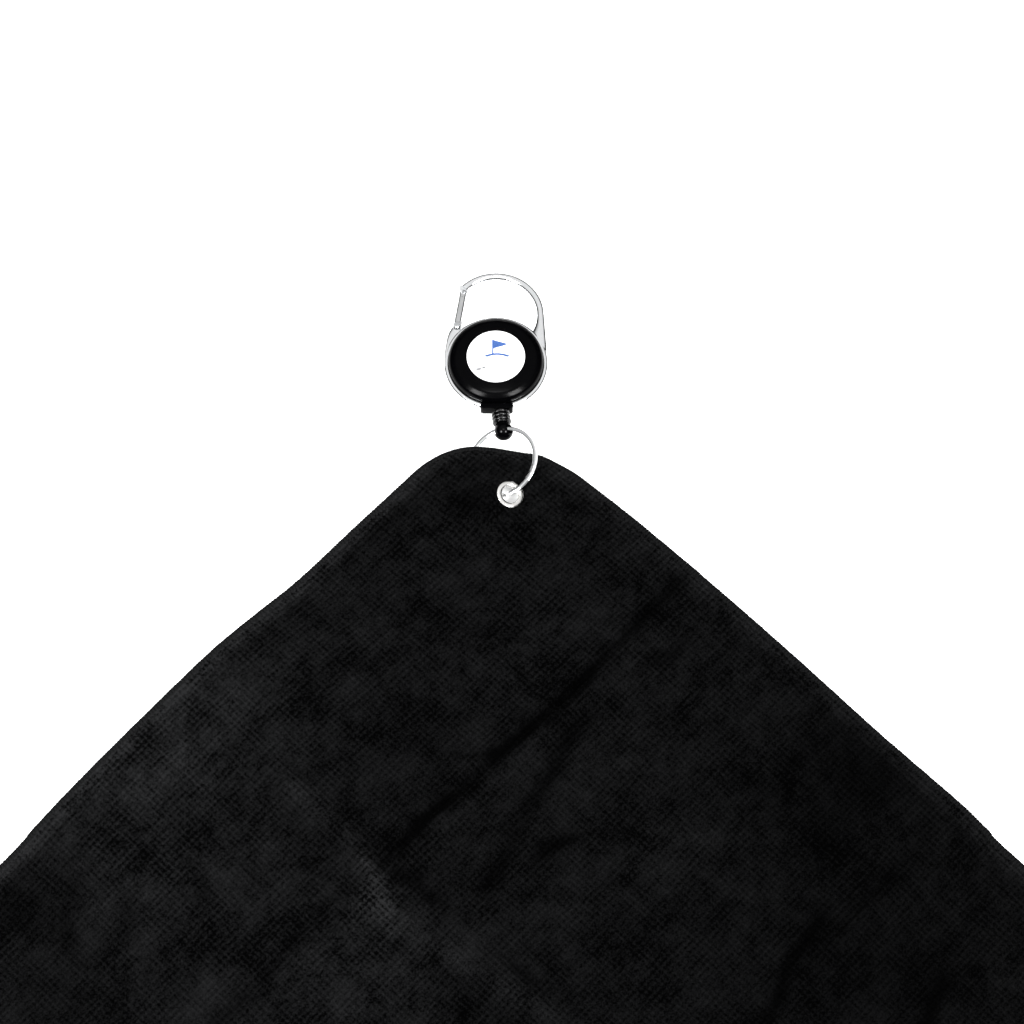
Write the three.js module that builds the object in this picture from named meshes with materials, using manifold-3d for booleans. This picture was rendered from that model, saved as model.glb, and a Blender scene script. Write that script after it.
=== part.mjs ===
// Golf towel on a retractable cord reel with a spring-gate clip.
// Millimetres, +Z up. The origin is the centre of the reel's back face, on the surface that everything
// lies on. +Y runs from the reel to the top of its clip, and the towel lies on the -Y side.
import * as THREE from 'three';
import { mergeVertices } from 'three/addons/utils/BufferGeometryUtils.js';
import Module from 'manifold-3d';

const wasm = await Module();
wasm.setup();

// ---------------------------------------------------------------- driving dimensions
const GAP = 0.3;                                  // clearance between touching pieces
const rad = THREE.MathUtils.degToRad;

// Clip frame: a ring round the reel with a loop above it
const FRAME_LOW = 1.6;
const FRAME_TOP = 4.4;
const RING_OUTER = 17.7;
const RING_INNER = 15.3;
const LOOP_CENTRE_Y = 18.6;
const LOOP_OUTER = 16.5;
const LOOP_INNER = 13.6;
const NOSE_ANGLE = rad(136);                      // where the loop stops, seen from its centre
const TONGUE_LOW = 2.3;                           // thinned ends that the gate's cheeks straddle
const TONGUE_TOP = 3.7;

// Gate: a U channel that swings inwards about the pivot
const PIVOT = [-13.2, 14.1];
const GATE_LEAN = rad(-9);                        // turn of the closed gate away from +Y
const GATE_OPEN = rad(-35);                       // further turn of the open gate
const GATE_LENGTH = 13.0;                         // pivot to latch pin
const GATE_HALF = 1.3;                            // half width, and the radius of both ends
const GATE_LOW = 1.5;
const GATE_TOP = 4.5;
const CHEEK = 0.45;                               // sheet thickness of the channel
const WEB_START = 2.1;
const WEB_END = 10.9;
const PIN_RADIUS = 0.5;

// Reel casing
const CASE_RADIUS = 16.0;
const CASE_INNER = 14.0;
const BACK_FLOOR = 1.3;
const ROOF_LOW = 6.5;
const LABEL_RADIUS = 9.75;
const LABEL_TOP = 8.5;
const LABEL_THICK = 0.4;
const POST_RADIUS = 2.3;
const POST_TOP = 6.2;
const SCREW_BORE = 1.1;

// Spool, cord and power spring
const SPOOL_LOW = 1.6;
const SPOOL_TOP = 6.2;
const FLANGE = 0.6;
const FLANGE_RADIUS = 13.5;
const DRUM_OUTER = 9.3;
const DRUM_INNER = 8.6;
const CORD_RADIUS = 0.45;
const CORD_Z = 3.9;
const WOUND_RADIUS = 12.1;                        // outside of the wound cord
const SPRING_TURNS = 6;
const SPRING_STRIP = 0.25;
const SPRING_INNER = 2.9;
const SPRING_OUTER = 8.1;

// Cord outlet and the fitting on the cord's end
const OUTLET_X = [-5.1, 5.7];
const OUTLET_FRONT_Y = -18.2;
const MOUTH = [1.5, -18.8, 4.0];                  // where the cord leaves the outlet
const BALL_CENTRE = [2.6, -26.6, 5.2];
const BALL_RADIUS = 3.15;
const BALL_HOLE = 1.75;
const SLEEVE_RADIUS = 3.1;

// Split ring: two coils of flat wire
const SPLIT_CENTRE = [2.35, -38.35, 5.54];
const SPLIT_RADIUS = 11.8;                        // to the middle of the wire
const SPLIT_ROLL = rad(24);                       // right side up
const SPLIT_PITCH = rad(3);                       // reel side up
const WIRE_WIDE = 1.3;
const WIRE_THICK = 0.5;
const COIL_STEP = 0.6;

// Towel
const TOWEL_LONG = 610;
const TOWEL_SHORT = 406;
const TOWEL_THICK = 1.8;
const TOWEL_CORNER = [-2.7, -15.2];               // the corner before it is rounded
const TOWEL_TURN = rad(226.4);                    // direction of the long edge
const CORNER_RADIUS = 41;
const GROMMET = [4.6, -50.5];
const GROMMET_OUTER = 4.55;
const GROMMET_Z = 5.9;                            // middle of the cloth at the grommet
const GROMMET_SLOPE = [-0.33, 0.16];              // rise per millimetre along X and Y: right side down
const GROMMET_BORE = 2.8;
const FULL_CLOTH = 7.6;                           // distance from the grommet where the cloth is full thickness
const PRESSED_HALF = 0.25;                        // half the cloth's thickness under the grommet
const HUMP_CENTRE = [-2.9, -43.1];                // the corner is lifted where the ring passes under it
const HUMP_HEIGHT = 7.0;
const HUMP_RADIUS = 28;
const HEM_WIDE = 1.0;

// ---------------------------------------------------------------- materials
const finish = (color, roughness, metalness) => new THREE.MeshStandardMaterial({ color, roughness, metalness });
const CHROME = finish(0xd6d8da, 0.12, 1);
const STEEL = finish(0xb4b7ba, 0.3, 1);
const BLACK_PLASTIC = finish(0x0b0b0d, 0.32, 0);
const INNER_PLASTIC = finish(0x1b1c1e, 0.55, 0);
const RUBBER = finish(0x0d0d0e, 0.6, 0);
const CORD = finish(0x101012, 0.8, 0);
const LABEL = finish(0xf6f7f8, 0.35, 0);
const CLOTH = finish(0x121315, 0.97, 0);
const THREAD = finish(0x19191b, 0.9, 0);

// ---------------------------------------------------------------- solids
function signedVolume(positions, index) {
  const [a, b, c] = [new THREE.Vector3(), new THREE.Vector3(), new THREE.Vector3()];
  let volume = 0;
  for (let i = 0; i < index.length; i += 3) {
    a.fromArray(positions, 3 * index[i]);
    b.fromArray(positions, 3 * index[i + 1]);
    c.fromArray(positions, 3 * index[i + 2]);
    volume += a.dot(b.cross(c)) / 6;
  }
  return volume;
}

// Shared vertices, no collapsed triangles, faces pointing out.
function closed(geometry) {
  const bare = geometry.clone();
  bare.deleteAttribute('normal');
  bare.deleteAttribute('uv');
  const merged = mergeVertices(bare, 1e-4);
  const positions = merged.attributes.position.array;
  const index = [];
  for (let i = 0; i < merged.index.count; i += 3) {
    const corners = [0, 1, 2].map((k) => merged.index.getX(i + k));
    if (new Set(corners).size === 3) index.push(...corners);
  }
  if (signedVolume(positions, index) < 0) index.reverse();
  merged.setIndex(index);
  return merged;
}

function toManifold(geometry) {
  const mesh = closed(geometry);
  return new wasm.Manifold(new wasm.Mesh({
    numProp: 3,
    vertProperties: new Float32Array(mesh.attributes.position.array),
    triVerts: new Uint32Array(mesh.index.array),
  }));
}

function toGeometry(manifold) {
  const mesh = manifold.getMesh();
  const geometry = new THREE.BufferGeometry();
  geometry.setAttribute('position', new THREE.BufferAttribute(new Float32Array(mesh.vertProperties), 3));
  geometry.setIndex(new THREE.BufferAttribute(new Uint32Array(mesh.triVerts), 1));
  return geometry;
}

const cut = (body, ...tools) => toGeometry(tools.reduce((kept, tool) => kept.subtract(toManifold(tool)),
  toManifold(body)));
const join = (body, ...others) => toGeometry(others.reduce((whole, other) => whole.add(toManifold(other)),
  toManifold(body)));

// A flat outline between two heights.
function plate(shape, low, top, curveSegments = 24) {
  const geometry = new THREE.ExtrudeGeometry(shape, { depth: top - low, bevelEnabled: false, curveSegments });
  return geometry.translate(0, 0, low);
}

function box(x, y, z) {
  const geometry = new THREE.BoxGeometry(x[1] - x[0], y[1] - y[0], z[1] - z[0]);
  return geometry.translate((x[0] + x[1]) / 2, (y[0] + y[1]) / 2, (z[0] + z[1]) / 2);
}

function rod(radius, low, top, segments = 20) {
  const geometry = new THREE.CylinderGeometry(radius, radius, top - low, segments);
  return geometry.rotateX(Math.PI / 2).translate(0, 0, (low + top) / 2);
}

// A profile of [radius, height] points turned about Z.
function turned(profile, segments = 36) {
  const points = profile.map(([radius, height]) => new THREE.Vector2(radius, height));
  return new THREE.LatheGeometry(points, segments).rotateX(Math.PI / 2);
}

const turnedRing = (profile, segments) => turned([...profile, profile[0]], segments);

// Rings of points joined in order. A loop closes on itself; an open run gets an end cap at each end.
function skin(rings, isLoop) {
  const sides = rings[0].length;
  const index = [];
  const last = isLoop ? rings.length : rings.length - 1;
  for (let i = 0; i < last; i += 1) {
    const next = (i + 1) % rings.length;
    for (let k = 0; k < sides; k += 1) {
      const [a, b] = [i * sides + k, i * sides + ((k + 1) % sides)];
      const [c, d] = [next * sides + ((k + 1) % sides), next * sides + k];
      index.push(a, b, c, a, c, d);
    }
  }
  if (!isLoop) {
    const end = (rings.length - 1) * sides;
    for (let k = 1; k < sides - 1; k += 1) {
      index.push(0, k + 1, k);
      index.push(end, end + k, end + k + 1);
    }
  }
  const geometry = new THREE.BufferGeometry();
  geometry.setAttribute('position', new THREE.Float32BufferAttribute(rings.flat(2), 3));
  geometry.setIndex(index);
  return closed(geometry);
}

function tube(points, radius, steps, sides = 8) {
  const section = new THREE.Shape().absarc(0, 0, radius, 0, 2 * Math.PI, false);
  const extrudePath = new THREE.CatmullRomCurve3(points.map((point) => new THREE.Vector3(...point)));
  return closed(new THREE.ExtrudeGeometry(section, { steps, extrudePath, curveSegments: sides }));
}

// ---------------------------------------------------------------- clip frame and gate
const onCircle = (centreY, radius, angle) => [radius * Math.cos(angle), centreY + radius * Math.sin(angle)];

function frameOutline() {
  const tangent = Math.asin((RING_OUTER - LOOP_OUTER) / LOOP_CENTRE_Y);
  const meetY = LOOP_CENTRE_Y - LOOP_INNER ** 2 / (2 * LOOP_CENTRE_Y);
  const meetX = Math.sqrt(RING_OUTER ** 2 - meetY ** 2);
  const shape = new THREE.Shape();
  shape.moveTo(...onCircle(LOOP_CENTRE_Y, LOOP_OUTER, tangent));
  shape.absarc(0, LOOP_CENTRE_Y, LOOP_OUTER, tangent, NOSE_ANGLE, false);
  shape.lineTo(...onCircle(LOOP_CENTRE_Y, LOOP_INNER, NOSE_ANGLE));
  shape.absarc(0, LOOP_CENTRE_Y, LOOP_INNER, NOSE_ANGLE, Math.atan2(meetY - LOOP_CENTRE_Y, meetX), true);
  shape.absarc(0, 0, RING_OUTER, Math.atan2(meetY, meetX), rad(131), false);
  shape.absarc(...PIVOT, 1.5, rad(20), rad(170), false);
  shape.splineThru([[-16.2, 11.3], [-17.4, 4.9], [-RING_OUTER, 0]].map((point) => new THREE.Vector2(...point)));
  shape.absarc(0, 0, RING_OUTER, Math.PI, 2 * Math.PI + tangent, false);
  shape.closePath();
  shape.holes.push(new THREE.Path().absarc(0, 0, RING_INNER, 0, 2 * Math.PI, true));
  return shape;
}

// The gate's outline with its pivot at the origin and its latch end on +Y, grown by a margin.
function gateOutline(margin = 0) {
  const half = GATE_HALF + margin;
  const shape = new THREE.Shape();
  shape.absarc(0, 0, half, Math.PI, 2 * Math.PI, false);
  shape.absarc(0, GATE_LENGTH, half, 0, Math.PI, false);
  shape.closePath();
  return shape;
}

const atGate = (geometry, opening = 0) => geometry
  .rotateZ(GATE_LEAN + opening)
  .translate(...PIVOT, 0);

function makeFrame() {
  const nose = new THREE.Shape();
  nose.moveTo(-1.2, GATE_LENGTH);
  nose.lineTo(1.1, GATE_LENGTH);
  nose.lineTo(1.6, GATE_LENGTH + 2.9);
  nose.lineTo(-1.6, GATE_LENGTH + 2.9);
  const hook = join(plate(nose, TONGUE_LOW, TONGUE_TOP),
    rod(1.5, TONGUE_LOW, TONGUE_TOP, 16).translate(0, GATE_LENGTH, 0));
  const layers = [[FRAME_LOW - 1, TONGUE_LOW], [TONGUE_TOP, FRAME_TOP + 1]];
  const reliefs = [0, 0.5, 1].flatMap((part) => layers.map(([low, top]) =>
    atGate(plate(gateOutline(0.35), low, top, 6), part * GATE_OPEN)));
  const notch = box([0, 3], [GATE_LENGTH - 0.85, GATE_LENGTH + 0.85], [0, 6]);
  const seat = rod(0.85, 0, 6, 12).translate(0, GATE_LENGTH, 0);
  const pivotHole = rod(PIN_RADIUS + GAP, 0, 6, 12).translate(...PIVOT, 0);
  const outletGap = box([OUTLET_X[0] - GAP, OUTLET_X[1] + GAP], [-20, -12], [0, 6]);
  return cut(join(plate(frameOutline(), FRAME_LOW, FRAME_TOP, 14), atGate(hook)),
    ...reliefs, atGate(notch), atGate(seat), pivotHole, outletGap);
}

function makeGateBar() {
  const bar = plate(gateOutline(), GATE_LOW, GATE_TOP, 10);
  const inside = [GATE_LOW + CHEEK, GATE_TOP - CHEEK];
  const channel = box([-3, GATE_HALF - CHEEK], [-3, GATE_LENGTH + 3], inside);
  const pivotWindow = box([-3, 3], [-3, WEB_START], inside);
  const latchWindow = box([-3, 3], [WEB_END, GATE_LENGTH + 3], inside);
  const holes = [0, GATE_LENGTH].map((y) => rod(PIN_RADIUS + GAP, 0, 6, 14).translate(0, y, 0));
  return atGate(cut(bar, channel, pivotWindow, latchWindow, ...holes));
}

// A rivet with a head outside each cheek.
function makePivotPin() {
  const headLow = GATE_LOW - GAP;
  const headTop = GATE_TOP + GAP;
  return turned([[0, headLow - 0.3], [0.9, headLow - 0.3], [1.1, headLow], [PIN_RADIUS, headLow],
    [PIN_RADIUS, headTop], [1.1, headTop], [0.9, headTop + 0.3], [0, headTop + 0.3]], 18)
    .translate(...PIVOT, 0);
}

const makeLatchPin = () => atGate(rod(PIN_RADIUS, GATE_LOW + 0.05, GATE_TOP - 0.05, 14)
  .translate(0, GATE_LENGTH, 0));

const GATE_MID_Z = (GATE_LOW + GATE_TOP) / 2;
const PLUNGER_X = -0.25;

// The rod that the gate's spring pushes against the round end of the frame's arm.
function makePlunger() {
  const profile = [[0, 1.8], [0.35, 1.9], [0.5, 2.2], [0.5, 3.0], [0.75, 3.0], [0.75, 3.4], [0.28, 3.4],
    [0.28, 5.0], [0, 5.0]];
  return atGate(turned(profile, 14).rotateX(-Math.PI / 2).translate(PLUNGER_X, 0, GATE_MID_Z));
}

function makeGateSpring() {
  const turns = 6;
  const wire = 0.11;
  const rings = [];
  for (let i = 0; i <= turns * 10; i += 1) {
    const turn = 2 * Math.PI * i / 10;
    const along = 3.9 + i * (5.9 / (turns * 10));
    rings.push([0, 1, 2, 3].map((k) => {
      const side = Math.PI * k / 2;
      const reach = 0.6 + wire * Math.cos(side);
      return [PLUNGER_X + reach * Math.cos(turn), along + wire * Math.sin(side), GATE_MID_Z + reach * Math.sin(turn)];
    }));
  }
  return atGate(skin(rings, false));
}

// ---------------------------------------------------------------- reel
function makeFrontCover() {
  return turnedRing([[SCREW_BORE, ROOF_LOW], [CASE_INNER, ROOF_LOW], [CASE_INNER, FRAME_TOP + GAP],
    [CASE_RADIUS, FRAME_TOP + GAP], [CASE_RADIUS, 5.2], [15.7, 6.3], [15.0, 7.3], [13.9, 8.1], [12.6, 8.5],
    [11.4, 8.6], [10.2, 8.6], [10.2, 7.8], [2.3, 7.8], [2.3, 7.1], [SCREW_BORE, 7.1]], 40);
}

function makeBackCover() {
  const wallTop = FRAME_TOP - 0.1;
  const shell = turned([[0, 0], [15.4, 0], [15.9, 0.5], [15.9, BACK_FLOOR], [15.0, BACK_FLOOR], [15.0, wallTop],
    [CASE_INNER, wallTop], [CASE_INNER, BACK_FLOOR], [POST_RADIUS, BACK_FLOOR], [POST_RADIUS, POST_TOP],
    [SCREW_BORE, POST_TOP], [SCREW_BORE, 2.4], [0, 2.4]], 40);
  const springSlot = box([0, 3], [-0.45, 0.45], [2.1, 7]);
  const cordSlot = box([-1, 7.5], [-16, -11], [2.9, 6]);
  const outletSlot = box([OUTLET_X[0], OUTLET_X[1]], [-16, -14.4], [BACK_FLOOR + 0.01, 6]);
  return cut(shell, springSlot, cordSlot, outletSlot);
}

function makeSpoolScrew() {
  return turned([[0, 3.0], [0.5, 3.2], [0.8, 3.7], [0.8, 7.4], [1.7, 7.4], [2.0, 7.55], [2.0, 7.75], [0, 7.75]], 20);
}

function makeSpool() {
  const [low, top] = [SPOOL_LOW + FLANGE, SPOOL_TOP - FLANGE];
  return turnedRing([[POST_RADIUS + GAP, SPOOL_LOW], [FLANGE_RADIUS, SPOOL_LOW], [FLANGE_RADIUS, low],
    [DRUM_OUTER, low], [DRUM_OUTER, top], [FLANGE_RADIUS, top], [FLANGE_RADIUS, SPOOL_TOP],
    [DRUM_INNER, SPOOL_TOP], [DRUM_INNER, low], [POST_RADIUS + GAP, low]]);
}

// The spiral strip inside the drum. Its inner end is bent into the slot of the post.
function makePowerSpring() {
  const [low, top] = [SPOOL_LOW + FLANGE + GAP, SPOOL_TOP - FLANGE - GAP];
  const half = SPRING_STRIP / 2;
  const steps = SPRING_TURNS * 14;
  const wall = (radius, angle) => [
    [(radius - half) * Math.cos(angle), (radius - half) * Math.sin(angle), low],
    [(radius + half) * Math.cos(angle), (radius + half) * Math.sin(angle), low],
    [(radius + half) * Math.cos(angle), (radius + half) * Math.sin(angle), top],
    [(radius - half) * Math.cos(angle), (radius - half) * Math.sin(angle), top]];
  const tab = [[1.5, half, low], [1.5, -half, low], [1.5, -half, top], [1.5, half, top]];
  const bend = [[SPRING_INNER - 0.3, half, low], [SPRING_INNER, -half, low],
    [SPRING_INNER, -half, top], [SPRING_INNER - 0.3, half, top]];
  const rings = [tab, bend];
  for (let i = 1; i <= steps; i += 1) {
    const radius = SPRING_INNER + (SPRING_OUTER - SPRING_INNER) * i / steps;
    rings.push(wall(radius, 2 * Math.PI * SPRING_TURNS * i / steps));
  }
  return skin(rings, false);
}

function makeCordWinding() {
  const [low, top] = [SPOOL_LOW + FLANGE + GAP, SPOOL_TOP - FLANGE - GAP];
  const inner = DRUM_OUTER + GAP;
  return turnedRing([[inner, low], [WOUND_RADIUS - 0.3, low], [WOUND_RADIUS, low + 0.4], [WOUND_RADIUS, top - 0.4],
    [WOUND_RADIUS - 0.3, top], [inner, top]], 30);
}

// From the side of the winding, across the casing and out through the outlet.
function makeCordLead() {
  const route = [[8.7, -9.6, CORD_Z], [6.6, -11.5, CORD_Z], [4.6, -13.3, CORD_Z], [3.0, -14.8, CORD_Z],
    [2.0, -16.1, CORD_Z], [1.6, -17.3, CORD_Z], [MOUTH[0], MOUTH[1] + 0.2, MOUTH[2] - 0.05]];
  return tube(route, CORD_RADIUS, 18);
}

function makeCordOutlet() {
  const shape = new THREE.Shape();
  const [left, right] = OUTLET_X;
  const corner = 0.8;
  shape.moveTo(left, -16.35);
  shape.lineTo(left, OUTLET_FRONT_Y + corner);
  shape.absarc(left + corner, OUTLET_FRONT_Y + corner, corner, Math.PI, 1.5 * Math.PI, false);
  shape.absarc(right - corner, OUTLET_FRONT_Y + corner, corner, 1.5 * Math.PI, 2 * Math.PI, false);
  shape.lineTo(right, -16.35);
  shape.closePath();
  const block = plate(shape, FRAME_LOW, 6.0, 6);
  const casingSpace = rod(CASE_RADIUS + GAP, FRAME_TOP, 7, 40);
  const root = box([left + 0.3, right - 0.3], [-16.6, -15.2], [FRAME_LOW + 0.01, FRAME_TOP]);
  const bore = turned([[0, -5], [0.85, -5], [0.85, 1.2], [1.35, 2.4], [0, 2.4]], 16)
    .rotateX(Math.PI / 2).translate(1.6, -17.0, CORD_Z);
  const cordWay = box([0.6, 4.2], [-16.9, -15], [CORD_Z - 0.9, CORD_Z + 0.9]);
  return cut(join(block, root), casingSpace, bore, cordWay);
}

// ---------------------------------------------------------------- fitting on the cord's end
const FITTING_AXIS = new THREE.Vector3(...BALL_CENTRE).sub(new THREE.Vector3(...MOUTH));
const BALL_AT = FITTING_AXIS.length();

// Turned profiles start at the outlet's mouth, and their +Z runs to the ball.
function onFitting(geometry) {
  const turn = new THREE.Quaternion().setFromUnitVectors(new THREE.Vector3(0, 0, 1), FITTING_AXIS.clone().normalize());
  return geometry.applyQuaternion(turn).translate(...MOUTH);
}

function makeCordSleeve() {
  const ribs = [0.5, 2.0, 3.5].flatMap((start) => [[SLEEVE_RADIUS - 0.25, start], [SLEEVE_RADIUS, start + 0.25],
    [SLEEVE_RADIUS, start + 0.8], [SLEEVE_RADIUS - 0.25, start + 1.05], [SLEEVE_RADIUS - 0.65, start + 1.1],
    [SLEEVE_RADIUS - 0.65, start + 1.5]]);
  return onFitting(turnedRing([[0.8, 0.5], ...ribs, [2.45, 5.1], [2.2, 5.1], [2.2, 3.4], [0.8, 3.4]], 22));
}

function makeBallLink() {
  const sphere = new THREE.SphereGeometry(BALL_RADIUS, 22, 14).translate(0, 0, BALL_AT);
  const shank = rod(1.9, 3.7, BALL_AT, 18);
  const hollow = rod(1.3, 3, 5.2, 14);
  const body = toGeometry(toManifold(join(sphere, shank)).subtract(toManifold(hollow)));
  const hole = rod(BALL_HOLE, -8, 8, 18)
    .rotateY(Math.PI / 2 - SPLIT_ROLL)
    .translate(BALL_CENTRE[0], BALL_CENTRE[1], BALL_CENTRE[2] + 0.45);
  return cut(onFitting(body), hole);
}

// The cord's last stretch inside the sleeve, with the stopper knot that the ball's shank holds.
function makeCordKnot() {
  const knot = new THREE.SphereGeometry(0.95, 12, 8).scale(1, 1, 0.6).translate(0, 0, 4.3);
  return onFitting(join(rod(CORD_RADIUS, 0.4, 4.3, 8), knot));
}

// ---------------------------------------------------------------- split ring
function makeSplitRing() {
  const turns = 1.93;
  const steps = 60;
  const [wide, thick, bevel] = [WIRE_WIDE / 2, WIRE_THICK / 2, 0.18];
  const section = [[wide, 0], [wide - bevel, thick], [-wide + bevel, thick], [-wide, 0],
    [-wide + bevel, -thick], [wide - bevel, -thick]];
  const rings = [];
  for (let i = 0; i <= steps; i += 1) {
    const turn = rad(-35) + 2 * Math.PI * turns * i / steps;
    const rise = COIL_STEP * turns * (i / steps - 0.5);
    rings.push(section.map(([out, up]) => [(SPLIT_RADIUS + out) * Math.cos(turn),
      (SPLIT_RADIUS + out) * Math.sin(turn), rise + up]));
  }
  return skin(rings, false).rotateY(-SPLIT_ROLL).rotateX(SPLIT_PITCH).translate(...SPLIT_CENTRE);
}

// ---------------------------------------------------------------- towel and grommet
const smooth = THREE.MathUtils.smoothstep;
const fromGrommet = (x, y) => Math.hypot(x - GROMMET[0], y - GROMMET[1]);

// Height of the cloth's underside where the split ring holds the corner up.
function hump(x, y) {
  const distance = Math.min(Math.hypot(x - HUMP_CENTRE[0], y - HUMP_CENTRE[1]), HUMP_RADIUS);
  return HUMP_HEIGHT * (0.5 + 0.5 * Math.cos(Math.PI * distance / HUMP_RADIUS));
}

// Middle of the cloth: flat in the grommet's own plane near it, and the hump further out.
function clothMiddle(x, y) {
  const pressed = GROMMET_Z + GROMMET_SLOPE[0] * (x - GROMMET[0]) + GROMMET_SLOPE[1] * (y - GROMMET[1]);
  const share = smooth(fromGrommet(x, y), 5, 12);
  return pressed * (1 - share) + (hump(x, y) + TOWEL_THICK / 2) * share;
}

const clothHalf = (x, y) => PRESSED_HALF
  + (TOWEL_THICK / 2 - PRESSED_HALF) * smooth(fromGrommet(x, y), 5.3, FULL_CLOTH);

// The rounded rectangle, as points from the near corner round, grown by a margin.
function towelOutline(margin = 0) {
  const [long, short] = [TOWEL_LONG, TOWEL_SHORT];
  const points = [];
  const centres = [[CORNER_RADIUS, CORNER_RADIUS, 180, 14], [long - CORNER_RADIUS, CORNER_RADIUS, 270, 6],
    [long - CORNER_RADIUS, short - CORNER_RADIUS, 0, 6], [CORNER_RADIUS, short - CORNER_RADIUS, 90, 6]];
  const splits = [9, 5, 9, 5];
  centres.forEach(([along, across, start, arcSteps], side) => {
    for (let i = 0; i <= arcSteps; i += 1) {
      const angle = rad(start + 90 * i / arcSteps);
      points.push([along + (CORNER_RADIUS + margin) * Math.cos(angle),
        across + (CORNER_RADIUS + margin) * Math.sin(angle)]);
    }
    const [a, b] = points.at(-1);
    const [nextAlong, nextAcross, nextStart] = centres[(side + 1) % 4];
    const c = nextAlong + (CORNER_RADIUS + margin) * Math.cos(rad(nextStart));
    const d = nextAcross + (CORNER_RADIUS + margin) * Math.sin(rad(nextStart));
    for (let i = 1; i < splits[side]; i += 1) {
      const share = i / splits[side];
      points.push([a + (c - a) * share, b + (d - b) * share]);
    }
  });
  const [cos, sin] = [Math.cos(TOWEL_TURN), Math.sin(TOWEL_TURN)];
  return points.map(([along, across]) => [TOWEL_CORNER[0] + along * cos - across * sin,
    TOWEL_CORNER[1] + along * sin + across * cos]);
}

// Rows of cloth spread from the grommet's hole to the edge, closer together near the hole.
function makeTowelCloth() {
  const hole = GROMMET_BORE + 0.75;
  const pressed = 5.2;
  const rows = 8;
  const rings = towelOutline().map(([x, y]) => {
    const reach = fromGrommet(x, y);
    const [dx, dy] = [(x - GROMMET[0]) / reach, (y - GROMMET[1]) / reach];
    const top = [];
    const under = [];
    const radii = [hole, pressed];
    for (let i = 0; i <= rows; i += 1) radii.push(FULL_CLOTH + (reach - FULL_CLOTH) * (i / rows) ** 1.9);
    for (const out of radii) {
      const [px, py] = [GROMMET[0] + out * dx, GROMMET[1] + out * dy];
      top.push([px, py, clothMiddle(px, py) + clothHalf(px, py)]);
      under.unshift([px, py, clothMiddle(px, py) - clothHalf(px, py)]);
    }
    return [...top, ...under];
  });
  return skin(rings, true);
}

// The overlocked thread, a band that runs round the cloth's cut edge.
function makeHemThread() {
  const inner = towelOutline(GAP);
  const outer = towelOutline(GAP + HEM_WIDE);
  const rings = inner.map(([x, y], i) => {
    const middle = hump(x, y) + TOWEL_THICK / 2;
    const [low, top] = [middle - TOWEL_THICK / 2 + 0.05, middle + TOWEL_THICK / 2 + 0.1];
    return [[x, y, low], [x, y, top], [...outer[i], top - 0.2], [...outer[i], low + 0.15]];
  });
  return skin(rings, true);
}

// The grommet's pieces are turned about the cloth's normal.
function onGrommet(geometry) {
  const normal = new THREE.Vector3(-GROMMET_SLOPE[0], -GROMMET_SLOPE[1], 1).normalize();
  const turn = new THREE.Quaternion().setFromUnitVectors(new THREE.Vector3(0, 0, 1), normal);
  return geometry.applyQuaternion(turn).translate(...GROMMET, GROMMET_Z);
}

function makeEyelet() {
  const barrel = GROMMET_BORE + 0.25;
  return onGrommet(turnedRing([[barrel, 0.55], [GROMMET_OUTER - 0.1, 0.55], [GROMMET_OUTER, 0.65], [4.2, 0.85],
    [3.5, 0.92], [3.0, 0.8], [GROMMET_BORE, 0.5], [GROMMET_BORE, -0.8], [3.0, -1.1], [3.5, -1.22], [4.0, -1.15],
    [4.0, -1.05], [3.5, -1.05], [barrel, -0.9]], 24));
}

function makeWasher() {
  return onGrommet(turnedRing([[3.35, -0.55], [GROMMET_OUTER, -0.55], [GROMMET_OUTER, -0.65], [4.1, -0.75],
    [3.35, -0.75]], 24));
}

// ---------------------------------------------------------------- the assembly
const golfTowel = new THREE.Group();

function add(name, geometry, material) {
  const flat = closed(geometry);
  flat.computeVertexNormals();
  const mesh = new THREE.Mesh(flat, material);
  mesh.name = name;
  golfTowel.add(mesh);
}

add('carabiner_frame', makeFrame(), CHROME);
add('gate_bar', makeGateBar(), CHROME);
add('gate_pivot_pin', makePivotPin(), STEEL);
add('gate_latch_pin', makeLatchPin(), STEEL);
add('gate_plunger', makePlunger(), STEEL);
add('gate_spring', makeGateSpring(), STEEL);
add('front_cover', makeFrontCover(), BLACK_PLASTIC);
add('back_cover', makeBackCover(), BLACK_PLASTIC);
add('label_disc', rod(LABEL_RADIUS, LABEL_TOP - LABEL_THICK, LABEL_TOP, 40), LABEL);
add('spool', makeSpool(), INNER_PLASTIC);
add('spool_screw', makeSpoolScrew(), STEEL);
add('power_spring', makePowerSpring(), STEEL);
add('cord_winding', makeCordWinding(), CORD);
add('cord_lead', makeCordLead(), CORD);
add('cord_outlet', makeCordOutlet(), BLACK_PLASTIC);
add('cord_sleeve', makeCordSleeve(), RUBBER);
add('ball_link', makeBallLink(), BLACK_PLASTIC);
add('cord_knot', makeCordKnot(), CORD);
add('split_ring', makeSplitRing(), CHROME);
add('grommet_eyelet', makeEyelet(), CHROME);
add('grommet_washer', makeWasher(), CHROME);
add('towel_cloth', makeTowelCloth(), CLOTH);
add('hem_thread', makeHemThread(), THREAD);

export default golfTowel;
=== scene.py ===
"""Golf towel on a retractable cord reel with a spring-gate clip: the looks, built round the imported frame.

Lengths are in millimetres along the frame's axes unless a line says otherwise, and meshes are scaled to
metres as they are made. Part 1 has the mesh tools, 2 the materials, 3 the clip and reel, 4 the fitting and
ring, 5 the towel, and 6 the stage, lights and camera.
"""

from math import acos, asin, ceil, copysign, cos, degrees, dist, pi, radians, sin, tan

import bmesh
import bpy
import numpy as np
from mathutils import Matrix, Vector, kdtree, noise
from mathutils.geometry import delaunay_2d_cdt


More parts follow.
